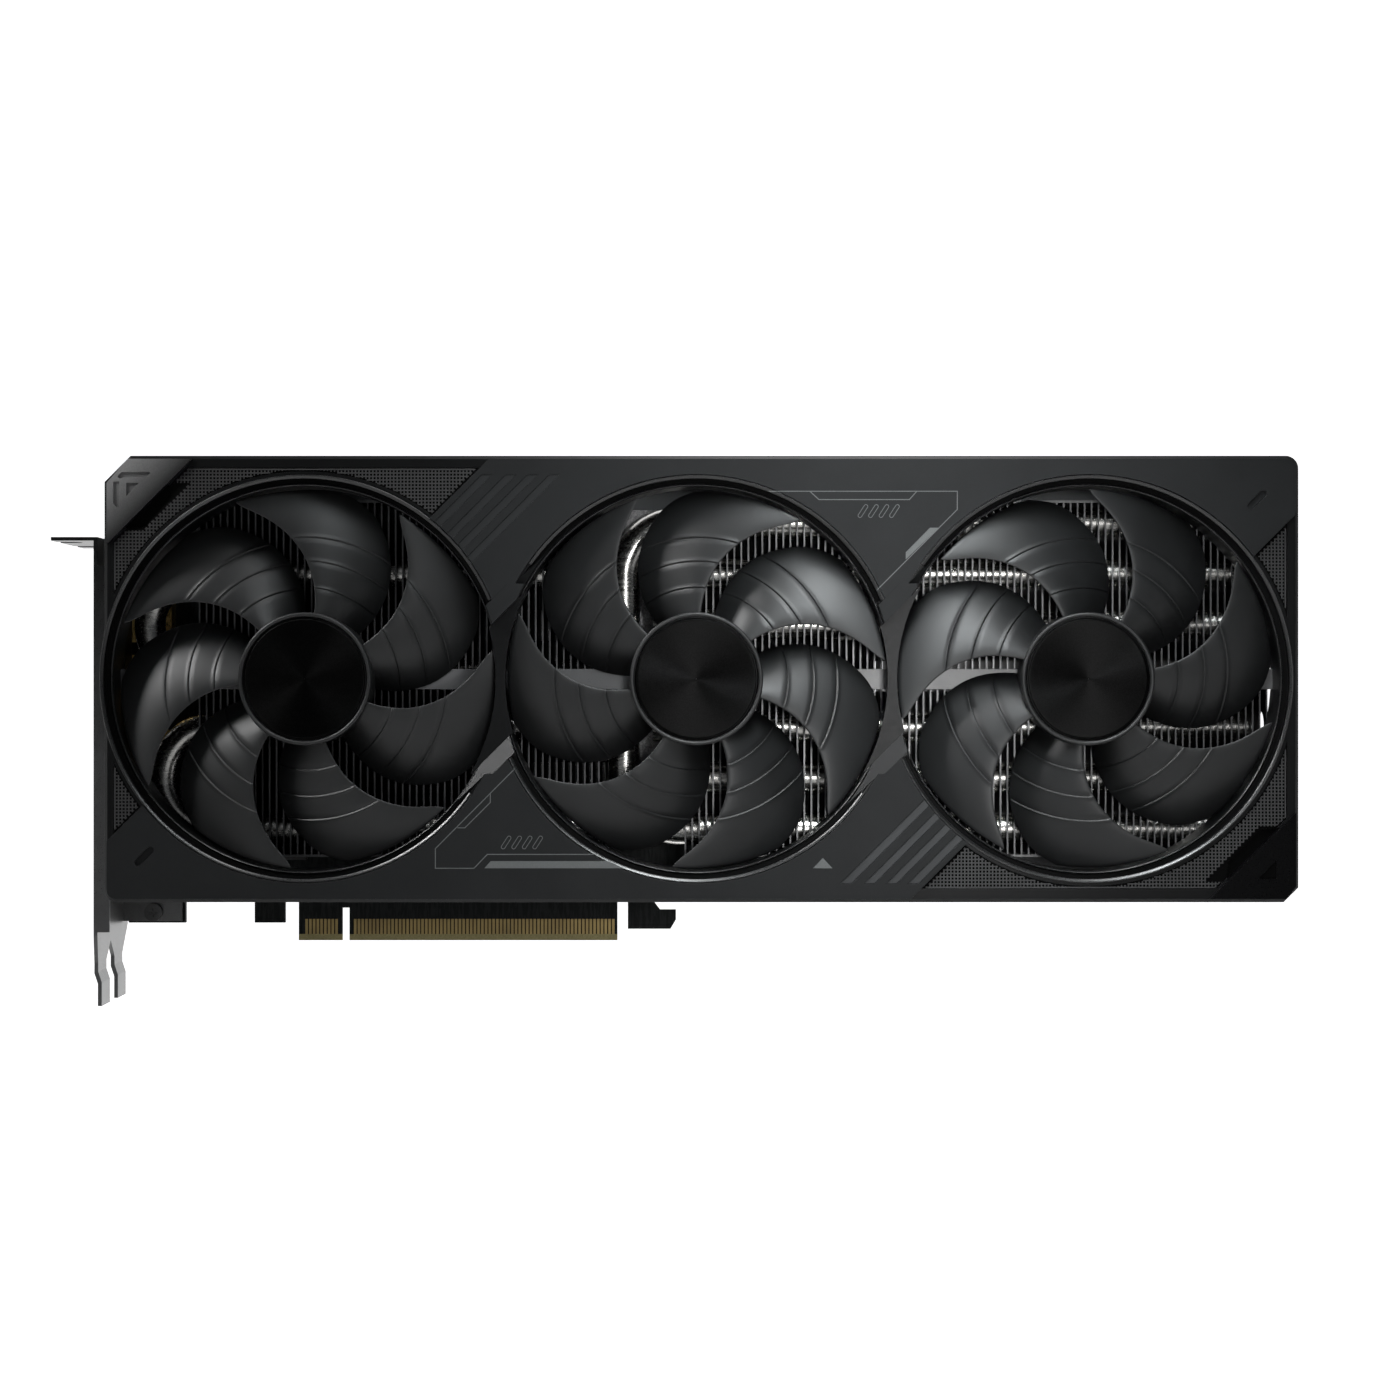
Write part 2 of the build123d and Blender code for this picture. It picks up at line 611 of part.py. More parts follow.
def bracket():
    """Two-slot bracket: plate with port and vent openings, folded tab on top, two tongues below."""
    near, far = BRACKET_NEAR, BRACKET_FAR
    shoulder = -3.0
    low = [TONGUE_DEPTHS[0] - TONGUE_WIDTH / 2, TONGUE_DEPTHS[0] + TONGUE_WIDTH / 2]
    low += [TONGUE_DEPTHS[1] - TONGUE_WIDTH / 2, TONGUE_DEPTHS[1] + TONGUE_WIDTH / 2]
    points = [(near, TAB_Z[1]), (near, 4.0), (low[0], shoulder), (low[1], shoulder), (26.0, 1.5)]
    points += [(low[2], shoulder), (low[3], shoulder), (far, 4.0), (far, TAB_Z[1])]
    thickness = BRACKET_X[1] - BRACKET_X[0]
    plate = extrude(Pos(BRACKET_X[0], 0, 0) * side_face(points), thickness)
    for z_range in DISPLAY_PORT_Z + [HDMI_Z]:
        opening = (z_range[0] - 0.3, z_range[1] + 0.3)
        plate -= block((-95, -80), (PORT_DEPTHS[0] - 0.3, PORT_DEPTHS[1] + 0.3), opening)
    for number in range(9):
        z = 16.0 + 9.6 * number
        plate -= block((-95, -80), (13.5, 31.5), (z, z + 5.6))
    plate += tab()
    plate += block((BRACKET_X[1], -86.2), (near, near + 1.0), (4.85, 98.5))
    plate += foot()
    for depth in TONGUE_DEPTHS:
        plate += tongue(depth)
    return plate


def tab():
    """The top tab, with an open notch over each slot for the case screw."""
    face = Polyline(
        (BRACKET_X[1], BRACKET_NEAR - BOARD_DEPTH),
        (TAB_X, BRACKET_NEAR - BOARD_DEPTH),
        (TAB_X, BRACKET_FAR - BOARD_DEPTH),
        (BRACKET_X[1], BRACKET_FAR - BOARD_DEPTH),
        close=True,
    )
    plate = extrude(Pos(0, 0, TAB_Z[0]) * make_face(face), TAB_Z[1] - TAB_Z[0])
    for depth in (18.4, 38.7):
        plate -= Pos(-97.2, depth - BOARD_DEPTH, 105) * Cylinder(2.2, 10)
        plate -= block((-106, -97.2), (depth - 2.2, depth + 2.2), (100, 110))
    return plate


def foot():
    """Folded foot that is screwed to the board's lower corner."""
    plate = block((BRACKET_X[1], -73.6), (BOARD_FRONT - 1.0, BOARD_FRONT), (5.2, 11.0))
    return plate - disc(-81.1, 7.6, SCREW_RADIUS + 0.1, 30, 60)


def tongue(depth):
    """One tongue, stepped inwards so that it drops behind the case's slot rail."""
    outer, inner = BRACKET_X
    step = 0.9
    profile = [(outer, -2.9), (inner, -2.9), (inner, -5.3), (inner + step, -8.0), (inner + step, -14.1)]
    profile += [(outer + step, -14.1), (outer + step, -8.4), (outer, -5.7)]
    return slab(outline(profile), depth - TONGUE_WIDTH / 2, depth + TONGUE_WIDTH / 2)


def screw(x, z, head_front, head_back, shank_to, head_radius):
    """Cross-recess screw driven from the back: head, shank and a cross cut in the head."""
    part = disc(x, z, head_radius, min(head_front, head_back), max(head_front, head_back))
    recess = front_rectangle(x - 1.3, x + 1.3, z - 0.3, z + 0.3) + front_rectangle(x - 0.3, x + 0.3, z - 1.3, z + 1.3)
    outer = head_back
    inner = head_back + (0.5 if head_back < shank_to else -0.5)
    part -= slab(recess, min(outer, inner), max(outer, inner))
    start, end = min(head_front, shank_to), max(head_front, shank_to)
    return part + disc(x, z, SCREW_RADIUS, start, end)


# ---------------------------------------------------------------- backplate

def backplate():
    """Metal backplate with folded edges, stand-off bosses and a slotted flow-through field."""
    face = front_rectangle(-86.0, 214.0, 13.5, 124.0)
    plate = slab(face, BACKPLATE_FRONT, BACKPLATE_BACK)
    for fold_front, z_range in ((BOARD_BACK + 0.8, (13.5, 14.7)), (42.0, (122.8, 124.0))):
        plate += block((-86.0, 214.0), (fold_front, BACKPLATE_BACK), z_range)
    for number in range(VENT_COUNT):
        x = VENT_START + VENT_PITCH * number
        plate -= slab(Pos(x, FAN_Z) * Rot(0, 0, VENT_LEAN) * SlotOverall(84.0, 3.4), 40, 60)
    for x, z in BACKPLATE_SCREWS:
        plate += disc(x, z, 3.2, BOARD_BACK, BACKPLATE_FRONT)
    return drill(plate, BACKPLATE_SCREWS, SCREW_RADIUS + 0.1)


def retention_cross():
    """Sprung steel cross behind the chip."""
    x, z = GPU_CENTRE
    arm = Rectangle(2.6 * RETENTION_REACH, 7.0)
    face = Pos(x, z) * (Rot(0, 0, 45) * arm + Rot(0, 0, -45) * arm + Circle(9.0))
    for point in retention_points():
        face += Pos(*point) * Circle(4.4)
    return drill(slab(face, BOARD_BACK + 0.2, BOARD_BACK + 1.4), retention_points(), SCREW_RADIUS + 0.25)


def build_nodes():
    """Every sub-part, by its node name."""
    upper_panel, lower_panel = raised_panels()
    cap_left, cap_right = corner_caps()
    nodes = {
        "shroud": shroud(),
        "upper_trim_panel": upper_panel,
        "lower_trim_panel": lower_panel,
        "corner_cap_upper_left": cap_left,
        "corner_cap_lower_right": cap_right,
        "mesh_grilles": mesh_grilles(),
    }
    for name, x in FAN_CENTRES.items():
        turn = -1 if name == "middle" else 1
        nodes["rotor_" + name] = at_fan(x, rotor(turn))
        nodes["hub_badge_" + name] = at_fan(x, hub_badge())
        nodes["magnet_ring_" + name] = at_fan(x, magnet_ring())
        nodes["fan_shaft_" + name] = at_fan(x, fan_shaft())
    centres = list(FAN_CENTRES.values())
    nodes["fan_frames"] = pieces([at_fan(x, fan_frame()) for x in centres])
    nodes["fan_bearings"] = pieces([at_fan(x, fan_bearing()) for x in centres])
    nodes["fan_stators"] = pieces([at_fan(x, fan_stator()) for x in centres])
    nodes["fan_windings"] = pieces([at_fan(x, coil) for x in centres for coil in fan_windings()])
    nodes["fan_circuit_boards"] = pieces([at_fan(x, fan_circuit_board()) for x in centres])
    nodes["fin_stack_left"] = left_fin_stack()
    nodes["fin_stack_right"] = right_fin_stack()
    nodes["heat_pipe_upper_outer"] = outer_pipe(1)
    nodes["heat_pipe_lower_outer"] = outer_pipe(-1)
    nodes["heat_pipe_upper_loop"] = loop_pipe(2, 0, -65.4)
    nodes["heat_pipe_lower_loop"] = loop_pipe(-1, -3, -61.5)
    nodes["straight_heat_pipes"] = pieces(straight_pipes())
    nodes["pipe_block"] = pipe_block()
    nodes["cold_plate"] = cold_plate()
    nodes["circuit_board"] = circuit_board()
    nodes["edge_contacts"] = pieces(edge_contacts())
    nodes["gpu_substrate"] = pieces(chips_on_board([GPU_CENTRE], (42.0, 42.0), 1.5))
    x, z = GPU_CENTRE
    die = ((x - 11.0, x + 11.0), (PLATE_BACK + 0.1, BOARD_FRONT - 1.5), (z - 11.0, z + 11.0))
    nodes["gpu_die"] = block(*die)
    nodes["memory_chips"] = pieces(chips_on_board(memory_places(), (12.0, 14.0), 1.2))
    nodes["thermal_pads"] = pieces(thermal_pads())
    nodes["inductors"] = pieces(chips_on_board(inductor_places(), (7.5, 8.5), 4.4))
    nodes["power_stages"] = pieces(chips_on_board(stage_places(), (5.0, 6.0), 1.0))
    nodes["capacitors"] = pieces(capacitors())
    nodes["power_connector"] = power_connector()
    nodes["power_pins"] = pieces(power_pins())
    nodes["display_port_shells"] = pieces([port_shell(z_range) for z_range in DISPLAY_PORT_Z])
    nodes["display_port_tongues"] = pieces([port_tongue(z_range, 11.0) for z_range in DISPLAY_PORT_Z])
    nodes["hdmi_shell"] = port_shell(HDMI_Z)
    nodes["hdmi_tongue"] = port_tongue(HDMI_Z, 10.0)
    nodes["bracket"] = bracket()
    nodes["bracket_screw"] = screw(-81.1, 7.6, BOARD_FRONT - 1.0, BOARD_FRONT - 2.4, BOARD_BACK, 2.4)
    nodes["backplate"] = backplate()
    nodes["backplate_screws"] = pieces(
        [screw(x, z, BACKPLATE_BACK, BACKPLATE_BACK + 0.6, BOARD_FRONT, 2.6) for x, z in BACKPLATE_SCREWS]
    )
    nodes["retention_cross"] = retention_cross()
    cross_back = BOARD_BACK + 1.4
    nodes["retention_screws"] = pieces(
        [screw(x, z, cross_back, cross_back + 1.4, FIN_BACK, 2.6) for x, z in retention_points()]
    )
    return nodes


os.makedirs("parts", exist_ok=True)
for node_name, shape in build_nodes().items():
    shape.label = node_name
    export_step(shape, "parts/" + node_name + ".step")
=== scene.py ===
import json
from math import cos, hypot, pi, radians, sin, sqrt

import bpy
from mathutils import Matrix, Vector


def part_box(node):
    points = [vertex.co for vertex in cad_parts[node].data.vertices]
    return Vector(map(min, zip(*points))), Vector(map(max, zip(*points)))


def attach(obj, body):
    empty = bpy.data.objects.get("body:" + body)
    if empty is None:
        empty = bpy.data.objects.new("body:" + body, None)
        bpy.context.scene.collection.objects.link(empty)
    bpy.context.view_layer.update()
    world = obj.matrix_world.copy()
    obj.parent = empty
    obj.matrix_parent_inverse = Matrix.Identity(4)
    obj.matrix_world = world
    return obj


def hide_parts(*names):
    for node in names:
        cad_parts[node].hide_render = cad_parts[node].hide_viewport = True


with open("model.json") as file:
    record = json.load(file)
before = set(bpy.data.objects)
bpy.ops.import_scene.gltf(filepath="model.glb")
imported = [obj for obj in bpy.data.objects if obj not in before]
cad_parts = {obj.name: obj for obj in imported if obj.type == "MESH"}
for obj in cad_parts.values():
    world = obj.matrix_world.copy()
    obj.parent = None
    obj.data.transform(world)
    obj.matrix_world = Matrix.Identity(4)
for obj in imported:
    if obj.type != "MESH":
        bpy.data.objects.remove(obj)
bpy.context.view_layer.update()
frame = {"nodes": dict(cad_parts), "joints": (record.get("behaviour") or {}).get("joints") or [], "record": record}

MM = 0.001
EULER = 2.718

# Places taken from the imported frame, in millimetres. Depth is measured back from the trim's front.
PANEL_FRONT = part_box("upper_trim_panel")[0].y / MM
AXES = {joint["child"]: (joint["pos_m"][0] / MM, joint["pos_m"][2] / MM) for joint in frame["joints"]}
FAN_Z = AXES["fan_middle"][1]

# Fan shape. Each fan's first blade is at an angle in degrees from +X.
HANDS = {"fan_left": 1, "fan_middle": -1, "fan_right": 1}
FIRST_BLADE = {"fan_left": 62.5, "fan_middle": 54.5, "fan_right": 92.0}
BLADES = 7
HUB_RADIUS = 16.9
TIP_RADIUS = 48.1
BLADE_WIDTH = 40.0
BLADE_SWEEP = 31.0
BLADE_FRONT = 3.5
BLADE_BACK = 13.3
GROOVE_RADII = (23.0, 29.7, 35.8)
TIP_ROUNDING = 5.0
GROOVE_DEPTH, GROOVE_WIDTH = 0.24, 0.2
RIDGE_HEIGHT, RIDGE_WIDTH, RIDGE_OFFSET = 0.14, 0.22, 0.45

# Depths of the hub disc's face, rim and back.
DISC_FACE, DISC_EDGE, DISC_BACK = 2.5, 2.7, 3.18

# The openings in the trim, and the angles from the level, in degrees, where their lips break off at a waist.
TRIM_RADIUS = 51.7
LIP_NEAR, LIP_FAR = 23.0, 34.5

# The slanted waists between the fans, as X - Z of the edges of each upper and lower facet.
WAISTS = [
    ((-77.5, -71.2), (-38.7, -33.1), "fan_left", "fan_middle"),
    ((21.4, 27.6), (60.2, 65.8), "fan_middle", "fan_right"),
]
WAIST_FLOOR = 2.2
WAIST_REACH = 24.0
FACET_RADIUS = 49.45

# Mesh fields: the spans of X - Z they fill, the sheet's extent in X and Z, how far from a fan's axis they
# begin, and the places left bare beside the corner caps, as spans of X - Z and of Z.
MESH_LEANS = [(-187.4, -114.4), (104.7, 178.1)]
MESH_LEFT, MESH_RIGHT = -83.1, 212.7
MESH_BOTTOM, MESH_TOP = 16.9, 122.6
MESH_RADIUS = 52.7
BARE_CORNERS = [((-187.4, -183.2), (107.3, 119.0)), ((173.9, 178.1), (18.3, 32.2))]
WIRE_PITCH, WIRE_HALF_WIDTH, WIRE_HEIGHT = 0.88, 0.15, 0.34

# Printed lines, marks and grooves on the trim, as front-view points (X, Z) or spans of X - Z.
LOWER_LINES = [
    [(17.96, 46.9), (-2.05, 26.75), (-2.05, 21.8), (7.7, 21.8), (11.05, 25.3), (38.8, 25.3)],
    [(11.8, 40.6), (11.8, 38.4), (5.4, 32.0), (3.5, 32.0)],
]
UPPER_LINES = [
    [(82.1, 116.9), (129.6, 116.9), (129.6, 112.3), (109.35, 92.0)],
    [(92.4, 116.9), (94.7, 114.8), (117.5, 114.8), (119.4, 116.9)],
]
SOLID_MARKS = [
    [(10.3, 21.8), (45.4, 21.8), (41.7, 23.6), (11.9, 23.6)],
    [(116.6, 99.7), (124.9, 107.7), (122.7, 107.7), (116.6, 101.5)],
    [(93.2, 21.8), (98.1, 21.8), (95.7, 24.4)],
]
FIRST_PILLS = [(15.8, 28.3), (105.8, 111.9)]
PILL_COUNT, PILL_PITCH = 4, 2.65
PILL_LENGTH, PILL_WIDTH, PILL_ANGLE = 3.7, 0.95, 57
LOWER_STRIPES = [(82.2, 85.0), (88.2, 90.8), (93.8, 96.4), (99.2, 102.0)]
UPPER_STRIPES = [(-111.5, -108.7), (-105.4, -102.7), (-99.9, -97.2), (-94.4, -91.7)]
STRIPE_GAP = 0.08
LOWER_STRIPES_END, UPPER_STRIPES_END = 18.0, 121.0

# Pockets beside the corner caps, and the triangle sunk in the lower cap.
CORNER_POCKETS = [
    [(-80.8, 107.8), (-75.55, 108.0), (-68.8, 115.8), (-69.6, 119.0)],
    [(198.0, 18.8), (211.0, 31.8), (206.35, 31.5), (198.2, 23.35)],
]
SUNK_TRIANGLE = [(205.7, 19.2), (210.1, 19.2), (210.1, 23.6)]

# How far thin skins and inks stand in front of the surface they lie on.
SKIN = 0.03


# ---------------------------------------------------------------- mesh helpers

def place(x, z, depth):
    """A point from its front-view place and its depth, in metres."""
    return Vector((x, depth + PANEL_FRONT, z)) * MM


def turned(centre, rows):
    """Rows of points given as (radius, angle, depth) about a fan's axis."""
    return [[place(centre[0] + r * cos(a), centre[1] + r * sin(a), d) for r, a, d in row] for row in rows]


def make_piece(name, shape, body, material, smooth=True):
    """A mesh object that rides on a CAD body."""
    mesh = bpy.data.meshes.new(name)
    mesh.from_pydata([tuple(v) for v in shape.vertices], [], shape.faces)
    mesh.validate()
    mesh.update()
    piece = bpy.data.objects.new(name, mesh)
    bpy.context.scene.collection.objects.link(piece)
    mesh.materials.append(material)
    for polygon in mesh.polygons:
        polygon.use_smooth = smooth
    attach(piece, body)
    return piece


def sharpen(piece, angle):
    """Keeps edges sharper than an angle in degrees crisp in smooth shading."""
    piece.data.set_sharp_from_angle(angle=radians(angle))


class Shape:
    """Collects the vertices and faces of one mesh."""

    def __init__(self):
        self.vertices = []
        self.faces = []

    def add(self, vertices, faces):
        start = len(self.vertices)
        self.vertices += vertices
        self.faces += [tuple(start + i for i in face) for face in faces]

    def grid(self, rows, close_rows=False, close_columns=False):
        """Faces between equally long rows of points."""
        height, width = len(rows), len(rows[0])
        faces = []
        for i in range(height if close_rows else height - 1):
            for j in range(width if close_columns else width - 1):
                here, there = i * width, (i + 1) % height * width
                k = (j + 1) % width
                faces.append((here + j, here + k, there + k, there + j))
        self.add([point for row in rows for point in row], faces)

    def prism(self, outline, front, back):
        """A front-view outline, counter-clockwise, made solid between two depths."""
        count = len(outline)
        vertices = [place(x, z, depth) for depth in (front, back) for x, z in outline]
        faces = [tuple(range(count)), tuple(range(2 * count - 1, count - 1, -1))]
        faces += [(i, i + count, (i + 1) % count + count, (i + 1) % count) for i in range(count)]
        self.add(vertices, faces)

    def lathe(self, centre, profile, start, end, steps):
        """A profile of (radius, depth) turned about a fan's axis between two angles in degrees."""
        full = abs(end - start) >= 360
        rows = []
        for step in range(steps + (0 if full else 1)):
            angle = radians(start + (end - start) * step / steps)
            rows.append([(r, angle, d) for r, d in profile])
        self.grid(turned(centre, rows), close_rows=full, close_columns=True)
        if not full:
            width = len(profile)
            first = len(self.vertices) - width * len(rows)
            last = len(self.vertices) - width
            self.faces.append(tuple(range(first + width - 1, first - 1, -1)))
            self.faces.append(tuple(range(last, last + width)))


# ---------------------------------------------------------------- materials

# The colour sockets of a Mix node, which shares its names between kinds of value.
MIX_COLOUR_A, MIX_COLOUR_B, MIX_COLOUR_RESULT = 6, 7, 2


class Nodes:
    """Shorthand for building one node material."""

    def __init__(self, name):
        self.material = bpy.data.materials.new(name)
        self.material.use_nodes = True
        self.tree = self.material.node_tree
        self.shader = self.tree.nodes["Principled BSDF"]
        self.coords = self.tree.nodes.new("ShaderNodeTexCoord")

    def link(self, source, target):
        self.tree.links.new(source, target)

    def mapped(self, stretch):
        """Object coordinates with each axis scaled."""
        mapping = self.tree.nodes.new("ShaderNodeMapping")
        mapping.inputs["Scale"].default_value = stretch
        self.link(self.coords.outputs["Object"], mapping.inputs["Vector"])
        return mapping.outputs["Vector"]

    def noise(self, per_mm, detail=3.0, stretch=(1, 1, 1), roughness=0.55):
        """Noise with a number of features to the millimetre."""
        node = self.tree.nodes.new("ShaderNodeTexNoise")
        node.inputs["Scale"].default_value = per_mm / MM
        node.inputs["Detail"].default_value = detail
        node.inputs["Roughness"].default_value = roughness
        self.link(self.mapped(stretch), node.inputs["Vector"])
        return node.outputs["Fac"]

    def spread(self, value, low, high, from_low=0.3, from_high=0.7):
        """A value mapped from one range to another."""
        node = self.tree.nodes.new("ShaderNodeMapRange")
        node.inputs["From Min"].default_value = from_low
        node.inputs["From Max"].default_value = from_high
        node.inputs["To Min"].default_value = low
        node.inputs["To Max"].default_value = high
        self.link(value, node.inputs["Value"])
        return node.outputs["Result"]

    def along(self, axis):
        """One of the object coordinates."""
        node = self.tree.nodes.new("ShaderNodeSeparateXYZ")
        self.link(self.coords.outputs["Object"], node.inputs["Vector"])
        return node.outputs[axis]

    def maths(self, operation, a, b):
        """Two values joined by an operation. Values are numbers or sockets."""
        node = self.tree.nodes.new("ShaderNodeMath")
        node.operation = operation
        for socket, value in zip(node.inputs, (a, b)):
            if isinstance(value, (int, float)):
                socket.default_value = value
            else:
                self.link(value, socket)
        return node.outputs["Value"]

    def mix(self, factor, a, b):
        """A colour between two, by a factor. Colours are tuples or sockets."""
        node = self.tree.nodes.new("ShaderNodeMix")
        node.data_type = "RGBA"
        self.link(factor, node.inputs["Factor"])
        for number, value in ((MIX_COLOUR_A, a), (MIX_COLOUR_B, b)):
            socket = node.inputs[number]
            if isinstance(value, tuple):
                socket.default_value = (*value, 1)
            else:
                self.link(value, socket)
        return node.outputs[MIX_COLOUR_RESULT]

    def bump(self, height, depth_mm, normal=None):
        """Normals tilted by a height pattern of a depth in millimetres."""
        node = self.tree.nodes.new("ShaderNodeBump")
        node.inputs["Strength"].default_value = 1.0
        node.inputs["Distance"].default_value = depth_mm * MM
        self.link(height, node.inputs["Height"])
        if normal is not None:
            self.link(normal, node.inputs["Normal"])
        return node.outputs["Normal"]

    def rounded(self, radius_mm):
        """Normals that round off edges by a small radius."""
        node = self.tree.nodes.new("ShaderNodeBevel")
        node.samples = 4
        node.inputs["Radius"].default_value = radius_mm * MM
        return node.outputs["Normal"]

    def edges(self, rounded):
        """1 along sharp edges and 0 on flats, from the rounded normals."""
        geometry = self.tree.nodes.new("ShaderNodeNewGeometry")
        dot = self.tree.nodes.new("ShaderNodeVectorMath")
        dot.operation = "DOT_PRODUCT"
        self.link(rounded, dot.inputs[0])
        self.link(geometry.outputs["Normal"], dot.inputs[1])
        return self.spread(dot.outputs["Value"], 1.0, 0.0, 0.8, 0.98)


def plastic(name, colour, roughness, grain=0.012, grain_size=3.2, edge=0.15, specular=0.5):
    """Moulded plastic: spark-eroded grain, slight tone drift, softly rounded and slightly polished edges."""
    n = Nodes(name)
    fine = n.noise(grain_size, 4)
    broad = n.noise(0.06, 3)
    rounded = n.rounded(edge)
    edges = n.edges(rounded)
    dark = tuple(c * 0.86 for c in colour)
    light = tuple(c * 1.16 for c in colour)
    worn = tuple(c * 1.6 + 0.004 for c in colour)
    tone = n.mix(n.spread(broad, 0, 1), dark, light)
    lifted = n.mix(n.maths("MULTIPLY", edges, 0.55), tone, worn)
    n.link(lifted, n.shader.inputs["Base Color"])
    mottled = n.spread(fine, roughness - 0.05, roughness + 0.07)
    n.link(n.maths("SUBTRACT", mottled, n.maths("MULTIPLY", edges, 0.1)), n.shader.inputs["Roughness"])
    n.link(n.bump(fine, grain, rounded), n.shader.inputs["Normal"])
    n.shader.inputs["Specular IOR Level"].default_value = specular
    return n.material


def metal(name, colour, roughness, stretch=(1, 1, 1), grain=0.006, grain_size=4.0, tint=None):
    """Metal with drawn or milled grain along an axis, clouded towards a tint."""
    n = Nodes(name)
    lines = n.noise(grain_size, 4, stretch)
    cloud = n.noise(0.12, 4)
    rounded = n.rounded(0.1)
    other = tint or tuple(c * 0.8 for c in colour)
    n.link(n.mix(n.spread(cloud, 0, 1), colour, other), n.shader.inputs["Base Color"])
    n.link(n.spread(lines, roughness - 0.07, roughness + 0.1), n.shader.inputs["Roughness"])
    n.link(n.bump(lines, grain, rounded), n.shader.inputs["Normal"])
    n.shader.inputs["Metallic"].default_value = 1.0
    return n.material


def blade_plastic():
    """Satin black blade plastic with a fine grain and a slow drift of tone."""
    n = Nodes("blade_plastic")
    fine = n.noise(2.4, 3)
    broad = n.noise(0.09, 4)
    colour = n.mix(n.spread(broad, 0, 1), (0.007, 0.0073, 0.0075), (0.011, 0.0115, 0.012))
    n.link(colour, n.shader.inputs["Base Color"])
    n.link(n.spread(fine, 0.4, 0.47), n.shader.inputs["Roughness"])
    n.link(n.bump(fine, 0.002), n.shader.inputs["Normal"])
    n.shader.inputs["Specular IOR Level"].default_value = 0.5
    return n.material


def spun_metal():
    """Black turned disc: anisotropic glints that sweep round the axis, with a sprinkled grain."""
    n = Nodes("badge_metal")
    speckle = n.noise(5.0, 2)
    colour = n.mix(n.spread(speckle, 0, 1), (0.004, 0.004, 0.004), (0.010, 0.010, 0.010))
    n.link(colour, n.shader.inputs["Base Color"])
    n.link(n.spread(speckle, 0.3, 0.4), n.shader.inputs["Roughness"])
    n.link(n.bump(speckle, 0.004), n.shader.inputs["Normal"])
    n.shader.inputs["Metallic"].default_value = 1.0
    n.shader.inputs["Anisotropic"].default_value = 0.8
    tangent = n.tree.nodes.new("ShaderNodeTangent")
    tangent.direction_type = "RADIAL"
    tangent.axis = "Y"
    n.link(tangent.outputs["Tangent"], n.shader.inputs["Tangent"])
    return n.material


def cast_block():
    """Rough cast aluminium with a sparkling, pitted surface."""
    n = Nodes("block_aluminium")
    pits = n.noise(2.2, 5, roughness=0.75)
    colour = n.mix(n.spread(pits, 0, 1), (0.16, 0.16, 0.165), (0.62, 0.62, 0.63))
    n.link(colour, n.shader.inputs["Base Color"])
    n.link(n.spread(pits, 0.62, 0.38), n.shader.inputs["Roughness"])
    n.link(n.bump(pits, 0.12, n.rounded(0.2)), n.shader.inputs["Normal"])
    n.shader.inputs["Metallic"].default_value = 1.0
    return n.material


# The slot edge's bare bevel on the circuit board: its top, and a place left of the slot blade.
BEVEL_TOP = 1.66
BLADE_LEFT = -45.0


def solder_mask():
    """Black coated board: bare laminate on the slot edge's bevel, and faint traces under the mask."""
    n = Nodes("board_black")
    below = n.maths("LESS_THAN", n.along("Z"), BEVEL_TOP * MM)
    near_slot = n.maths("GREATER_THAN", n.along("X"), BLADE_LEFT * MM)
    bare = n.maths("MULTIPLY", below, near_slot)
    traces = n.noise(1.3, 2, (1, 1, 0.12))
    tracks = n.spread(traces, 0, 1, 0.47, 0.53)
    grain = n.noise(3.0, 3)
    mask = n.mix(tracks, (0.004, 0.005, 0.005), (0.009, 0.010, 0.010))
    laminate = n.mix(n.spread(grain, 0, 1), (0.22, 0.19, 0.085), (0.30, 0.26, 0.13))
    n.link(n.mix(bare, mask, laminate), n.shader.inputs["Base Color"])
    n.link(n.spread(grain, 0.3, 0.42), n.shader.inputs["Roughness"])
    n.link(n.bump(tracks, 0.02, n.rounded(0.08)), n.shader.inputs["Normal"])
    n.shader.inputs["Specular IOR Level"].default_value = 0.12
    return n.material


def fin_metal():
    """Thin sheet: bright cut edges at the front, and a painted shade that darkens the sheet from just behind its
    front edge back, standing in for the shade between the sheets; streaked by rolling.
    """
    n = Nodes("fin_aluminium")
    streaks = n.noise(1.5, 4, (1, 1, 0.08))
    cloud = n.noise(0.05, 3)
    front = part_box("fin_stack_left")[0].y
    # Painted shade: the colour falls to near black a fraction of a millimetre behind the front edge, where the
    # gaps between the sheets lie in shade.
    inside = n.spread(n.along("Y"), 0, 1, front + 0.02 * MM, front + 0.3 * MM)
    bright = n.mix(n.spread(cloud, 0, 1), (0.11, 0.111, 0.112), (0.16, 0.161, 0.162))
    painted_shade = n.mix(n.spread(cloud, 0, 1), (0.012, 0.012, 0.012), (0.022, 0.022, 0.022))
    n.link(n.mix(inside, bright, painted_shade), n.shader.inputs["Base Color"])
    n.link(n.spread(streaks, 0.3, 0.46), n.shader.inputs["Roughness"])
    n.link(n.bump(streaks, 0.004), n.shader.inputs["Normal"])
    n.shader.inputs["Metallic"].default_value = 1.0
    return n.material


def powder_coat(name, colour, roughness):
    """Painted metal with a fine orange-peel coat that thins on the edges."""
    scuffed = tuple(c * 1.35 for c in colour)
    worn = tuple(c * 1.9 + 0.01 for c in colour)
    n = Nodes(name)
    peel = n.noise(1.6, 2)
    fine = n.noise(6.0, 2)
    rounded = n.rounded(0.15)
    edges = n.edges(rounded)
    scuffs = n.spread(n.noise(0.35, 5, (1, 1, 0.3)), 0, 0.5, 0.55, 0.75)
    tone = n.mix(scuffs, colour, scuffed)
    n.link(n.mix(n.maths("MULTIPLY", edges, 0.6), tone, worn), n.shader.inputs["Base Color"])
    n.link(n.spread(fine, roughness - 0.05, roughness + 0.06), n.shader.inputs["Roughness"])
    n.link(n.bump(peel, 0.01, rounded), n.shader.inputs["Normal"])
    return n.material


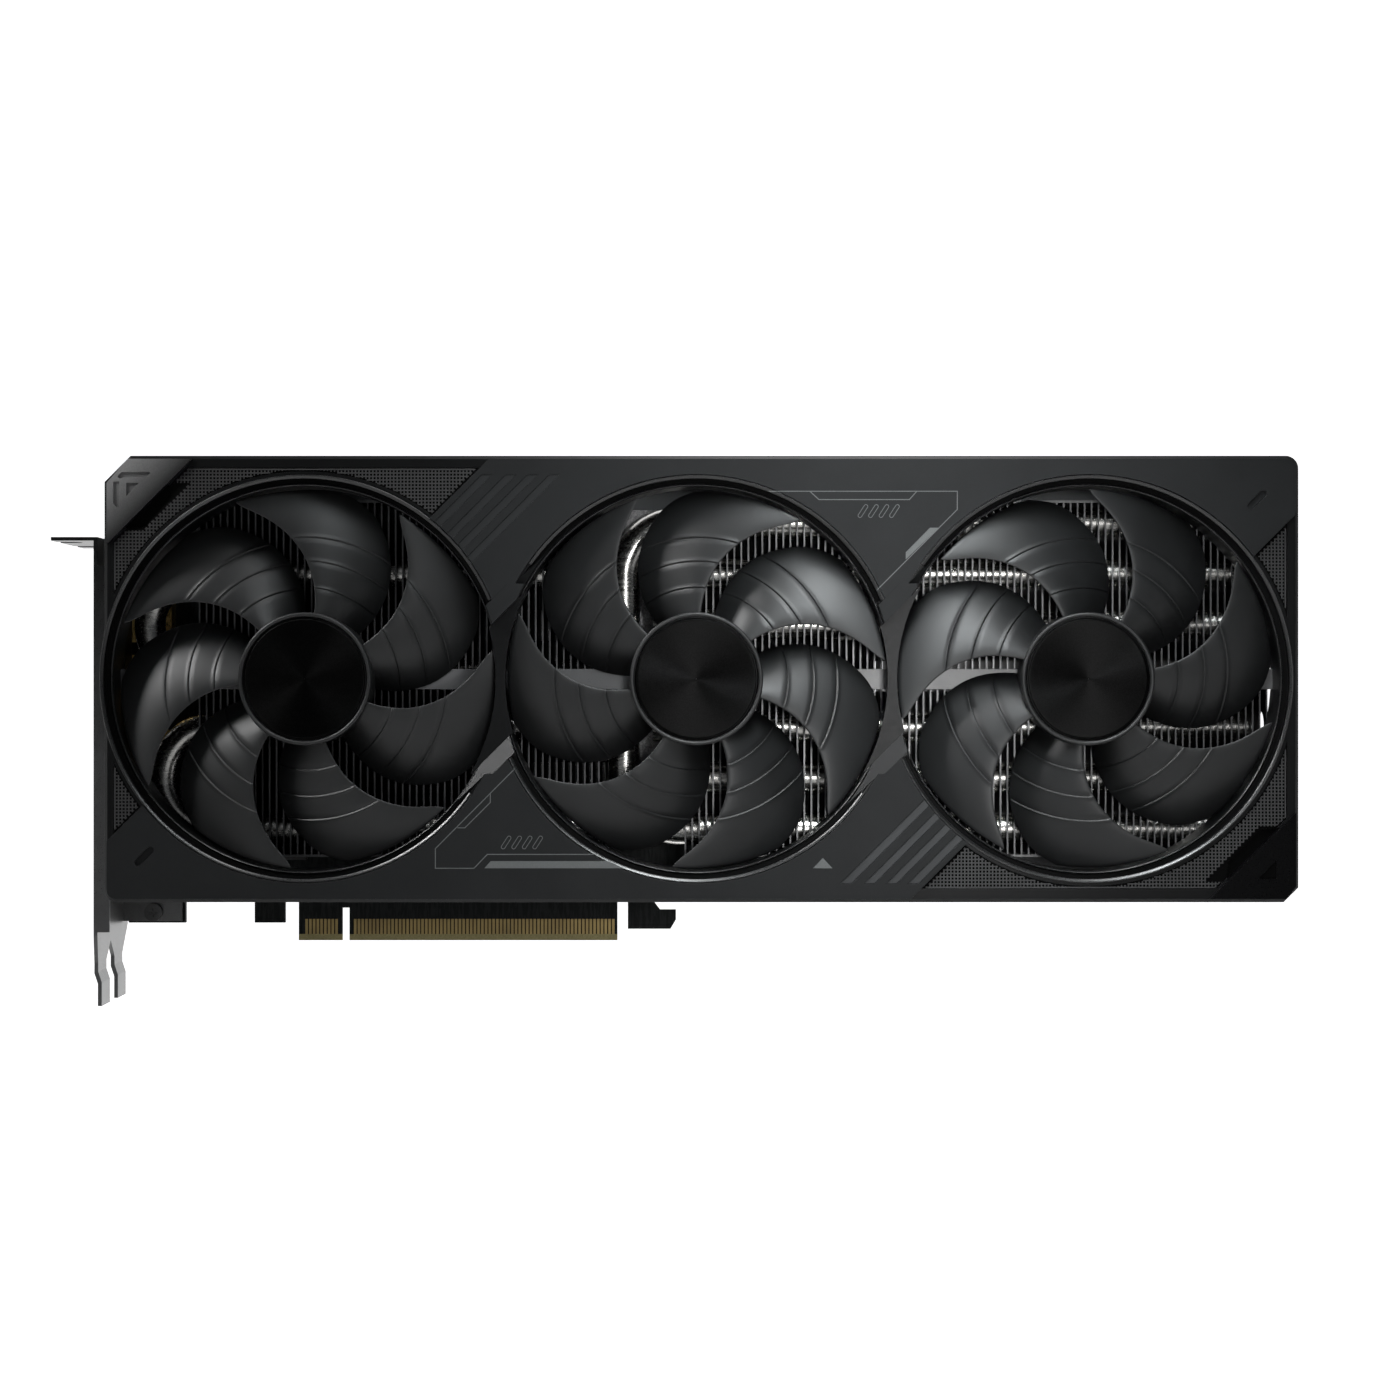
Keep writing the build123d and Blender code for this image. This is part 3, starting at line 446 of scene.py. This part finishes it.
# Where the upper left cap's grey starts and ends, as X - Z.
CAP_CORNER, CAP_INNER_EDGE = -203.0, -189.0


def faded_cap():
    """Painted plastic that runs from black at the cap's inner edge to grey at the card's corner."""
    n = Nodes("cap_grey")
    fine = n.noise(3.2, 4)
    lean = n.maths("SUBTRACT", n.along("X"), n.along("Z"))
    corner = n.spread(lean, 1, 0, CAP_CORNER * MM, CAP_INNER_EDGE * MM)
    inner = n.mix(n.spread(fine, 0, 1), (0.012, 0.012, 0.012), (0.016, 0.016, 0.016))
    outer = n.mix(n.spread(fine, 0, 1), (0.17, 0.17, 0.17), (0.21, 0.21, 0.21))
    n.link(n.mix(corner, inner, outer), n.shader.inputs["Base Color"])
    n.link(n.spread(fine, 0.4, 0.5), n.shader.inputs["Roughness"])
    n.link(n.bump(fine, 0.01, n.rounded(0.2)), n.shader.inputs["Normal"])
    n.shader.inputs["Specular IOR Level"].default_value = 0.3
    return n.material


# The heights between which the bracket's plate darkens.
BRACKET_PALE, BRACKET_DARK = 45.0, 104.0


def bracket_metal():
    """Bead-blasted plated steel, darker towards the tab."""
    n = Nodes("bracket_steel")
    fine = n.noise(5.0, 3)
    cloud = n.noise(0.15, 4)
    high = n.spread(n.along("Z"), 0, 1, BRACKET_PALE * MM, BRACKET_DARK * MM)
    pale = n.mix(n.spread(cloud, 0, 1), (0.15, 0.15, 0.15), (0.18, 0.18, 0.18))
    dark = n.mix(n.spread(cloud, 0, 1), (0.03, 0.03, 0.03), (0.045, 0.045, 0.045))
    n.link(n.mix(high, pale, dark), n.shader.inputs["Base Color"])
    n.link(n.spread(fine, 0.26, 0.38), n.shader.inputs["Roughness"])
    n.link(n.bump(fine, 0.004, n.rounded(0.12)), n.shader.inputs["Normal"])
    n.shader.inputs["Metallic"].default_value = 1.0
    return n.material


def make_materials():
    """One finished material for each slot of the record."""
    return {
        "shroud_plastic": plastic("shroud_plastic", (0.0025, 0.0027, 0.0029), 0.36, specular=0.2),
        "trim_plastic": plastic("trim_plastic", (0.009, 0.0096, 0.0101), 0.52, grain=0.016, specular=0.22),
        "cap_grey": faded_cap(),
        "cap_black": plastic("cap_black", (0.0012, 0.0012, 0.0014), 0.3, specular=0.12),
        "mesh_black": plastic("mesh_black", (0.001, 0.001, 0.001), 0.6, edge=0.05, specular=0.05),
        "blade_plastic": blade_plastic(),
        "badge_metal": spun_metal(),
        "frame_plastic": plastic("frame_plastic", (0.09, 0.09, 0.092), 0.32, specular=0.7),
        "magnet": metal("magnet", (0.07, 0.07, 0.075), 0.6),
        "steel": metal("steel", (0.52, 0.52, 0.53), 0.32, (1, 6, 1)),
        "bearing_bronze": metal("bearing_bronze", (0.5, 0.33, 0.14), 0.45),
        "copper_wire": metal("copper_wire", (0.6, 0.24, 0.08), 0.35, (1, 14, 1)),
        "fin_aluminium": fin_metal(),
        "pipe_nickel": metal("pipe_nickel", (0.72, 0.71, 0.68), 0.24, (0.15, 1, 1), 0.02, 1.4),
        "block_aluminium": cast_block(),
        "plate_nickel": metal("plate_nickel", (0.6, 0.59, 0.57), 0.3, (0.1, 1, 1)),
        "board_black": solder_mask(),
        "gold": metal("gold", (0.42, 0.31, 0.13), 0.38, (1, 1, 0.2), tint=(0.3, 0.22, 0.1)),
        "chip_black": plastic("chip_black", (0.014, 0.014, 0.015), 0.55),
        "substrate_green": plastic("substrate_green", (0.02, 0.06, 0.03), 0.4),
        "die_silicon": metal("die_silicon", (0.2, 0.21, 0.24), 0.12),
        "pad_grey": plastic("pad_grey", (0.28, 0.3, 0.32), 0.8),
        "inductor_grey": metal("inductor_grey", (0.09, 0.09, 0.09), 0.6),
        "capacitor_can": metal("capacitor_can", (0.62, 0.62, 0.62), 0.3, (1, 10, 1)),
        "connector_black": plastic("connector_black", (0.01, 0.01, 0.01), 0.45),
        "port_metal": metal("port_metal", (0.62, 0.45, 0.17), 0.3, (1, 1, 0.2), tint=(0.4, 0.28, 0.11)),
        "bracket_steel": bracket_metal(),
        "screw_black": metal("screw_black", (0.12, 0.12, 0.12), 0.35),
        "backplate_metal": powder_coat("backplate_metal", (0.022, 0.023, 0.024), 0.45),
    }


def marking_paint():
    """Thin grey printed ink with slight pinholes."""
    n = Nodes("marking_paint")
    speck = n.noise(6.0, 3)
    colour = n.mix(n.spread(speck, 0, 1), (0.075, 0.08, 0.08), (0.11, 0.115, 0.115))
    n.link(colour, n.shader.inputs["Base Color"])
    n.link(n.spread(speck, 0.45, 0.6), n.shader.inputs["Roughness"])
    n.link(n.bump(speck, 0.004), n.shader.inputs["Normal"])
    return n.material


def stripe_plastic(name, colour):
    """The finer grain of the slanted stripes, a shade lighter than the trim."""
    return plastic(name, colour, 0.45, grain=0.006, grain_size=5.0, specular=0.3)


# ---------------------------------------------------------------- stage

# The white sweep, in metres.
FLOOR_Z = -160.0 * MM
SWEEP_FRONT, SWEEP_BACK = -3.5, 1.6
SWEEP_BEND, SWEEP_HEIGHT, SWEEP_HALF_WIDTH = 0.8, 3.5, 4.0


def make_camera():
    """The camera straight in front of the card's middle, level with it."""
    data = bpy.data.cameras.new("camera")
    data.sensor_width = 36
    data.lens = 73.4
    data.clip_end = 50
    camera = bpy.data.objects.new("camera", data)
    camera.location = (0.0647, -0.7642, 0.06424)
    camera.rotation_euler = (radians(90), 0, 0)
    bpy.context.scene.collection.objects.link(camera)
    bpy.context.scene.camera = camera


def area_light(name, at, towards, size, spread, power, colour=(1, 1, 1)):
    """A soft rectangular light aimed at a point, its beam narrowed to an angle in degrees."""
    data = bpy.data.lights.new(name, "AREA")
    data.shape = "RECTANGLE"
    data.size, data.size_y = size
    data.spread = radians(spread)
    data.energy = power
    data.color = colour
    light = bpy.data.objects.new(name, data)
    light.location = at
    light.rotation_euler = (Vector(towards) - Vector(at)).to_track_quat("-Z", "Y").to_euler()
    bpy.context.scene.collection.objects.link(light)


def sweep_white():
    """Matt white paper that glows a little in front of the card and more behind it."""
    n = Nodes("white_sweep")
    grain = n.noise(0.02, 2)
    n.link(n.mix(n.spread(grain, 0, 1), (0.88, 0.88, 0.88), (0.9, 0.9, 0.9)), n.shader.inputs["Base Color"])
    n.shader.inputs["Roughness"].default_value = 0.9
    n.shader.inputs["Specular IOR Level"].default_value = 0.0
    n.shader.inputs["Emission Color"].default_value = (1, 1, 1, 1)
    n.link(n.spread(n.along("Y"), 0.10, 0.88, 0.02, 0.13), n.shader.inputs["Emission Strength"])
    return n.material


def make_sweep():
    """Floor that curves up into a backdrop, in metres."""
    profile = [(SWEEP_FRONT, FLOOR_Z), (SWEEP_BACK - SWEEP_BEND, FLOOR_Z)]
    steps = 16
    for step in range(1, steps + 1):
        angle = radians(90) * step / steps
        y = SWEEP_BACK - SWEEP_BEND + SWEEP_BEND * sin(angle)
        profile.append((y, FLOOR_Z + SWEEP_BEND * (1 - cos(angle))))
    profile.append((SWEEP_BACK, SWEEP_HEIGHT))
    vertices = [(x, y, z) for y, z in profile for x in (-SWEEP_HALF_WIDTH, SWEEP_HALF_WIDTH)]
    faces = [(2 * i, 2 * i + 1, 2 * i + 3, 2 * i + 2) for i in range(len(profile) - 1)]
    mesh = bpy.data.meshes.new("sweep")
    mesh.from_pydata(vertices, [], faces)
    for polygon in mesh.polygons:
        polygon.use_smooth = True
    mesh.materials.append(sweep_white())
    sweep = bpy.data.objects.new("sweep", mesh)
    bpy.context.scene.collection.objects.link(sweep)


def make_world():
    """Dim pale surroundings, and colours shown as they are."""
    world = bpy.data.worlds.new("studio")
    bpy.context.scene.world = world
    world.use_nodes = True
    background = world.node_tree.nodes["Background"]
    background.inputs["Color"].default_value = (0.9, 0.95, 1.0, 1)
    background.inputs["Strength"].default_value = 0.06
    bpy.context.scene.view_settings.view_transform = "Standard"


def make_lights():
    """A broad light above, a weak one in front, and three narrow ones for the fans and waists."""
    middle = (0.11, -0.03, 0.07)
    cool = (0.93, 0.98, 1.0)
    area_light("strip_waist", (0.12, -0.25, 0.28), (0.115, -0.03, 0.06), (0.05, 0.16), 70, 0.17, cool)
    area_light("strip_left", (-0.42, -0.26, 0.47), (0.03, -0.03, 0.06), (0.10, 0.3), 60, 0.4)
    area_light("top_soft", (0.12, -0.03, 0.6), middle, (0.7, 0.15), 120, 1.2)
    area_light("card_front", (0.142, -0.458, 0.0715), (0.113, 0.0, 0.07), (0.05, 0.08), 40, 0.022)
    area_light("fill_front", (-0.1, -1.5, 0.6), middle, (0.6, 0.6), 180, 0.12)


def make_stage():
    """White sweep of floor and backdrop, pale surroundings and the lights."""
    make_sweep()
    make_world()
    make_lights()


# ---------------------------------------------------------------- rotors

def blade_radii():
    """Radii of a blade's sections from hub to tip, close together at the grooves and at the tip."""
    radii = [HUB_RADIUS - 0.6]
    radius = HUB_RADIUS
    while radius < TIP_RADIUS - 0.4:
        radii.append(radius)
        near = min(abs(radius - groove) for groove in GROOVE_RADII)
        radius += 0.14 if near < 0.7 else 0.75
    return radii + [TIP_RADIUS - 0.35, TIP_RADIUS - 0.12, TIP_RADIUS]


def blade_thickness(radius, out):
    """A blade's thickness at a radius, rounded off at the tip."""
    tip_share = 1.0
    if radius >= TIP_RADIUS - 0.05:
        tip_share = 0.35
    elif radius >= TIP_RADIUS - 0.3:
        tip_share = 0.75
    return (1.7 - 0.6 * out) * tip_share


def groove_depth(radius, s):
    """How far the grooves, and the low ridges beside them, sink the front skin."""
    depth = sum(GROOVE_DEPTH * EULER ** (-((radius - g) / GROOVE_WIDTH) ** 2) for g in GROOVE_RADII)
    ridges = [(radius - g - RIDGE_OFFSET) / RIDGE_WIDTH for g in GROOVE_RADII]
    depth -= sum(RIDGE_HEIGHT * EULER ** (-ridge ** 2) for ridge in ridges)
    return depth * min(1.0, 6 * (1 - s ** 2))


def blade_rows(hand, hub_angle):
    """Closed sections of one blade from hub to tip, each a loop round the blade's thickness."""
    across = 34
    rows = []
    for radius in blade_radii():
        out = max(0.0, (radius - HUB_RADIUS) / (TIP_RADIUS - HUB_RADIUS))
        middle = hub_angle + hand * BLADE_SWEEP * out ** 1.8
        half = BLADE_WIDTH / 2 * (1 + 0.03 * sin(pi * out))
        tip = max(0.0, (radius - (TIP_RADIUS - TIP_ROUNDING)) / TIP_ROUNDING)
        front_trim = 1.0 - 0.10 * tip ** 3
        back_trim = 1.0 - 0.22 * tip ** 2.5
        thickness = blade_thickness(radius, out)
        front_side, back_side = [], []
        for step in range(across + 1):
            s = cos(pi * step / across)
            reach = s * (front_trim if s > 0 else back_trim)
            angle = radians(middle + hand * reach * half)
            fall = (1 - reach) / 2
            rise = (BLADE_BACK - BLADE_FRONT) * (0.98 - 0.12 * out)
            depth = BLADE_FRONT + 0.6 + 0.9 * out * (1 - out) + rise * (0.42 * fall + 0.58 * fall ** 1.9)
            depth -= 0.7 * out ** 2 * max(0.0, s) ** 2
            skin = thickness / 2 * sqrt(max(0.0, 1 - s ** 2)) * (1 + 0.25 * s)
            front_side.append((radius, angle, depth - skin + groove_depth(radius, s)))
            back_side.append((radius, angle, depth + skin))
        rows.append(front_side + back_side[-2:0:-1])
    return rows


def close_tip(shape, width):
    """Faces across a blade's last section, from its front side to its back side."""
    last = len(shape.vertices) - width
    tip = [last + i for i in range(width)]
    for i in range(width // 2):
        corners = (tip[i], tip[(width - i) % width], tip[(width - i - 1) % width], tip[i + 1])
        shape.faces.append(tuple(dict.fromkeys(corners)))


def make_rotor(body, materials):
    """Hub cup with its rim and seven swept, grooved blades."""
    side = body.split("_")[1]
    centre = AXES[body]
    hand = HANDS[body]
    shape = Shape()
    for number in range(BLADES):
        rows = blade_rows(hand, FIRST_BLADE[body] + 360 / BLADES * number)
        shape.grid(turned(centre, rows), close_columns=True)
        close_tip(shape, len(rows[0]))
    # The hub's section as (radius, depth): rim, outer wall, cup and the boss on the shaft.
    hub = [
        (15.75, 3.2), (15.75, 2.75), (15.85, 2.45), (16.05, 2.25), (16.35, 2.2), (16.6, 2.25),
        (16.8, 2.45), (16.9, 2.8), (16.9, 12.9), (15.4, 12.9), (15.4, 4.6), (3.4, 4.6), (3.4, 6.2),
        (1.55, 6.2), (1.55, 3.2),
    ]
    shape.lathe(centre, hub, 0, 360, 160)
    piece = make_piece("fan_rotor_" + side, shape, body, materials["blade_plastic"])
    sharpen(piece, 50)
    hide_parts("rotor_" + side)


def make_badge(body, materials):
    """Turned disc in the hub, with fine concentric lines and a stepped edge. Its origin is on the axis."""
    side = body.split("_")[1]
    centre = AXES[body]
    shape = Shape()
    profile = [(0.05, DISC_FACE + 0.02)]
    radius = 0.5
    while radius < 14.8:
        profile.append((radius, DISC_FACE))
        profile.append((radius + 0.28, DISC_FACE + 0.012))
        radius += 0.4
    profile += [(14.95, DISC_FACE), (15.1, DISC_FACE + 0.08), (15.2, DISC_EDGE), (15.45, DISC_EDGE)]
    profile += [(15.62, DISC_EDGE + 0.08), (15.68, DISC_EDGE + 0.25), (15.68, DISC_BACK), (0.05, DISC_BACK)]
    shape.lathe((0, 0), profile, 0, 360, 160)
    piece = make_piece("hub_disc_" + side, shape, body, materials["badge_metal"])
    piece.location = Vector((centre[0], 0, centre[1])) * MM
    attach(piece, body)
    sharpen(piece, 40)
    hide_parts("hub_badge_" + side)


# ---------------------------------------------------------------- shroud detail

def in_mesh_field(x, z):
    """Whether a front-view point lies in one of the four mesh fields."""
    lean = x - z
    if not any(low < lean < high for low, high in MESH_LEANS):
        return False
    if any(low < lean < high and bottom < z < top for (low, high), (bottom, top) in BARE_CORNERS):
        return False
    return min(hypot(x - cx, z - cz) for cx, cz in AXES.values()) > MESH_RADIUS


def runs(inside, start, end, step):
    """Stretches of a line, as pairs of ends, along which a test holds."""
    found, opened = [], None
    for number in range(int((end - start) / step) + 2):
        at = start + step * number
        if inside(at) and at <= end:
            opened = at if opened is None else opened
        elif opened is not None:
            if at - step > opened:
                found.append((opened, at - step))
            opened = None
    return found


def make_mesh_lattice():
    """Raised wires that cross on the mesh sheets, with small square pits between them."""
    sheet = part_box("mesh_grilles")[0].y / MM - PANEL_FRONT
    step = 0.2
    shape = Shape()

    def bar(x0, x1, z0, z1, lift):
        shape.prism([(x0, z0), (x1, z0), (x1, z1), (x0, z1)], sheet - lift, sheet + 0.02)

    for number in range(int((MESH_TOP - MESH_BOTTOM) / WIRE_PITCH) + 1):
        z = MESH_BOTTOM + WIRE_PITCH * number
        for start, end in runs(lambda x: in_mesh_field(x, z), MESH_LEFT, MESH_RIGHT, step):
            bar(start, end, z - WIRE_HALF_WIDTH, z + WIRE_HALF_WIDTH, WIRE_HEIGHT)
    for number in range(int((MESH_RIGHT - MESH_LEFT) / WIRE_PITCH) + 1):
        x = MESH_LEFT + WIRE_PITCH * number
        for start, end in runs(lambda z: in_mesh_field(x, z), MESH_BOTTOM, MESH_TOP, step):
            bar(x - WIRE_HALF_WIDTH, x + WIRE_HALF_WIDTH, start, end, WIRE_HEIGHT - 0.04)
    wires = plastic("mesh_wires", (0.045, 0.045, 0.0455), 0.45, edge=0.03, specular=0.3)
    make_piece("mesh_wires", shape, "card", wires, False)


def make_rims():
    """Bevelled lip round each opening, broken at the waists, the duct's inner lip and a near-black liner between,
    a painted shade on the recess's wall and floor.
    """
    # Sections as (radius, depth).
    lip = [
        (50.6, 1.6), (50.6, 0.86), (50.68, 0.74), (51.25, 0.46), (51.38, 0.43), (51.5, 0.55), (51.56, 1.02),
        (51.56, 1.6),
    ]
    inner = [(48.95, 4.35), (49.0, 4.0), (49.2, 3.86), (49.4, 3.98), (49.5, 4.38), (49.4, 4.7), (48.95, 4.7)]
    liner = [(49.5, 4.5), (49.5, 4.34), (50.92, 4.34), (50.92, 1.7), (50.99, 1.7), (50.99, 4.5)]
    spans = {
        "fan_left": [(LIP_NEAR, 360 - LIP_FAR)],
        "fan_middle": [(LIP_NEAR, 180 - LIP_FAR), (180 + LIP_NEAR, 360 - LIP_FAR)],
        "fan_right": [(-180 + LIP_NEAR, 180 - LIP_FAR)],
    }
    satin = plastic("rim_satin", (0.006, 0.0062, 0.0064), 0.3, grain=0.003, specular=0.9)
    # The liner is darker than the shroud plastic: a painted shade in the recess between the lips.
    black = plastic("recess_shade_black", (0.0015, 0.0015, 0.0015), 0.6, specular=0.1)
    for body, arcs in spans.items():
        side = body.split("_")[1]
        lips, liners = Shape(), Shape()
        for start, end in arcs:
            lips.lathe(AXES[body], lip, start, end, 150)
            liners.lathe(AXES[body], liner, start, end, 150)
        lips.lathe(AXES[body], inner, 0, 360, 180)
        sharpen(make_piece("rim_" + side, lips, "card", satin), 60)
        sharpen(make_piece("liner_" + side, liners, "card", black), 60)


def ribbon(shape, points, width, front, back, closed=False):
    """A mitred line of even width along front-view points."""
    count = len(points)
    left, right = [], []
    for i in range(count):
        here = Vector(points[i])
        before = Vector(points[i - 1]) if (closed or i > 0) else None
        after = Vector(points[(i + 1) % count]) if (closed or i < count - 1) else None
        arriving = (here - before).normalized() if before is not None else (after - here).normalized()
        leaving = (after - here).normalized() if after is not None else arriving
        normal = Vector((-(arriving + leaving).y, (arriving + leaving).x)).normalized()
        spread = width / 2 / max(0.4, normal.dot(Vector((-arriving.y, arriving.x))))
        left.append(here + normal * spread)
        right.append(here - normal * spread)
    for i in range(count if closed else count - 1):
        j = (i + 1) % count
        quad = [tuple(right[i]), tuple(right[j]), tuple(left[j]), tuple(left[i])]
        shape.prism(quad, front, back)


def pill_outline(x, z, length, width, angle):
    """Points round a slot shape, counter-clockwise."""
    points = []
    reach = (length - width) / 2
    steps = 8
    for side in (1, -1):
        for step in range(steps + 1):
            turn = radians(-90 + 180 * step / steps + (0 if side > 0 else 180))
            points.append((side * reach + width / 2 * cos(turn), width / 2 * sin(turn)))
    c, s = cos(radians(angle)), sin(radians(angle))
    return [(x + a * c - b * s, z + a * s + b * c) for a, b in points]


def make_markings():
    """Fine printed lines, slot outlines and flat marks on the trim, none of which spells anything."""
    shape = Shape()
    front, back = -SKIN, 0.02
    for line in LOWER_LINES + UPPER_LINES:
        ribbon(shape, line, 0.22, front, back)
    for number in range(PILL_COUNT):
        for x, z in FIRST_PILLS:
            pill = pill_outline(x + PILL_PITCH * number, z, PILL_LENGTH, PILL_WIDTH, PILL_ANGLE)
            ribbon(shape, pill, 0.16, front, back, closed=True)
    for mark in SOLID_MARKS:
        shape.prism(mark, front, back)
    make_piece("front_markings", shape, "card", marking_paint(), False)


def make_pocket_floors():
    """Black floors in the pockets beside the corner caps, a painted shade standing in for the shadow there, and a
    black floor in the lower cap's sunk triangle.
    """
    shape = Shape()
    for pocket in CORNER_POCKETS:
        # The pocket floors are near black: a painted shade in the pockets beside the caps.
        shape.prism(pocket, 2.6, 2.75)
    shape.prism(SUNK_TRIANGLE, 0.44, 0.55)
    black = plastic("pocket_shade_and_triangle_black", (0.001, 0.001, 0.001), 0.5, specular=0.05)
    make_piece("pocket_floors", shape, "card", black, False)


def crossing(lean, body, side, radius, otherwise=None):
    """The lower (-1) or upper (1) height at which a line of constant X - Z crosses a circle round a fan."""
    cx, cz = AXES[body]
    offset = (lean - (cx - cz)) / sqrt(2)
    if abs(offset) >= radius:
        return otherwise
    return cz + (side * sqrt(radius ** 2 - offset ** 2) - offset) / sqrt(2)


def facet_plate(shape, high_edge, low_edge, left_body, right_body):
    """A thin skin on one sloped facet of a waist, between the openings of the fans beside it."""
    rows = []
    steps = 12
    for step in range(steps + 1):
        lean = high_edge + (low_edge - high_edge) * step / steps
        depth = WAIST_FLOOR * step / steps - SKIN
        low = crossing(lean, left_body, 1, FACET_RADIUS, FAN_Z - WAIST_REACH)
        high = crossing(lean, right_body, -1, FACET_RADIUS, FAN_Z + WAIST_REACH)
        front = [place(lean + z, z, depth) for z in (low, high)]
        back = [place(lean + z, z, depth + 0.2) for z in (high, low)]
        rows.append(front + back)
    first = len(shape.vertices)
    shape.grid(rows, close_columns=True)
    last = len(shape.vertices) - 4
    shape.faces.append((first + 3, first + 2, first + 1, first))
    shape.faces.append((last, last + 1, last + 2, last + 3))


def make_facets():
    """Skins on the sloped facets, in lit and shaded copies of the trim plastic: a painted light on the ones that
    face up, a painted shade on the ones that face down.
    """
    light, dark = Shape(), Shape()
    for upper, lower, left_body, right_body in WAISTS:
        facet_plate(dark, *upper, left_body, right_body)
        facet_plate(light, *lower[::-1], left_body, right_body)
    # The lower facets are a lit copy of the trim plastic and the upper ones a shaded copy: painted light and
    # painted shade.
    pale = plastic("facet_painted_light", (0.0095, 0.0098, 0.0102), 0.42, specular=0.3)
    shaded_copy = plastic("facet_painted_shade", (0.004, 0.0042, 0.0044), 0.5, specular=0.12)
    make_piece("facets_lower", light, "card", pale, False)
    make_piece("facets_upper", dark, "card", shaded_copy, False)


def make_stripes():
    """Thin inlays in the floors of the trim's slanted grooves: four clear below and four faint above."""
    lower, upper = Shape(), Shape()
    for low, high in LOWER_STRIPES:
        leans = (low + STRIPE_GAP, high - STRIPE_GAP, high - STRIPE_GAP, low + STRIPE_GAP)
        tops = [crossing(lean, "fan_right", -1, TRIM_RADIUS) for lean in leans[2:]]
        ends = [LOWER_STRIPES_END] * 2 + tops
        lower.prism([(lean + z, z) for lean, z in zip(leans, ends)], 0.28, 0.36)
    for low, high in UPPER_STRIPES:
        leans = (low + STRIPE_GAP, high - STRIPE_GAP, high - STRIPE_GAP, low + STRIPE_GAP)
        feet = [crossing(lean, "fan_left", 1, TRIM_RADIUS) for lean in leans[:2]]
        ends = feet + [UPPER_STRIPES_END] * 2
        upper.prism([(lean + z, z) for lean, z in zip(leans, ends)], 0.13, 0.18)
    clear = stripe_plastic("stripe_clear", (0.03, 0.0315, 0.033))
    faint = stripe_plastic("stripe_faint", (0.013, 0.0138, 0.0144))
    make_piece("stripes_lower", lower, "card", clear, False)
    make_piece("stripes_upper", upper, "card", faint, False)


def assign_cad_materials(materials):
    """Each CAD node gets the finished material of its slot."""
    slots = {part["node"]: part["material_slot"] for part in frame["record"]["subparts"]}
    for name, node in frame["nodes"].items():
        node.data.materials.clear()
        node.data.materials.append(materials[slots[name]])


make_camera()
make_stage()
materials = make_materials()
assign_cad_materials(materials)
for fan_body in HANDS:
    make_rotor(fan_body, materials)
    make_badge(fan_body, materials)
make_mesh_lattice()
make_rims()
make_markings()
make_stripes()
make_facets()
make_pocket_floors()
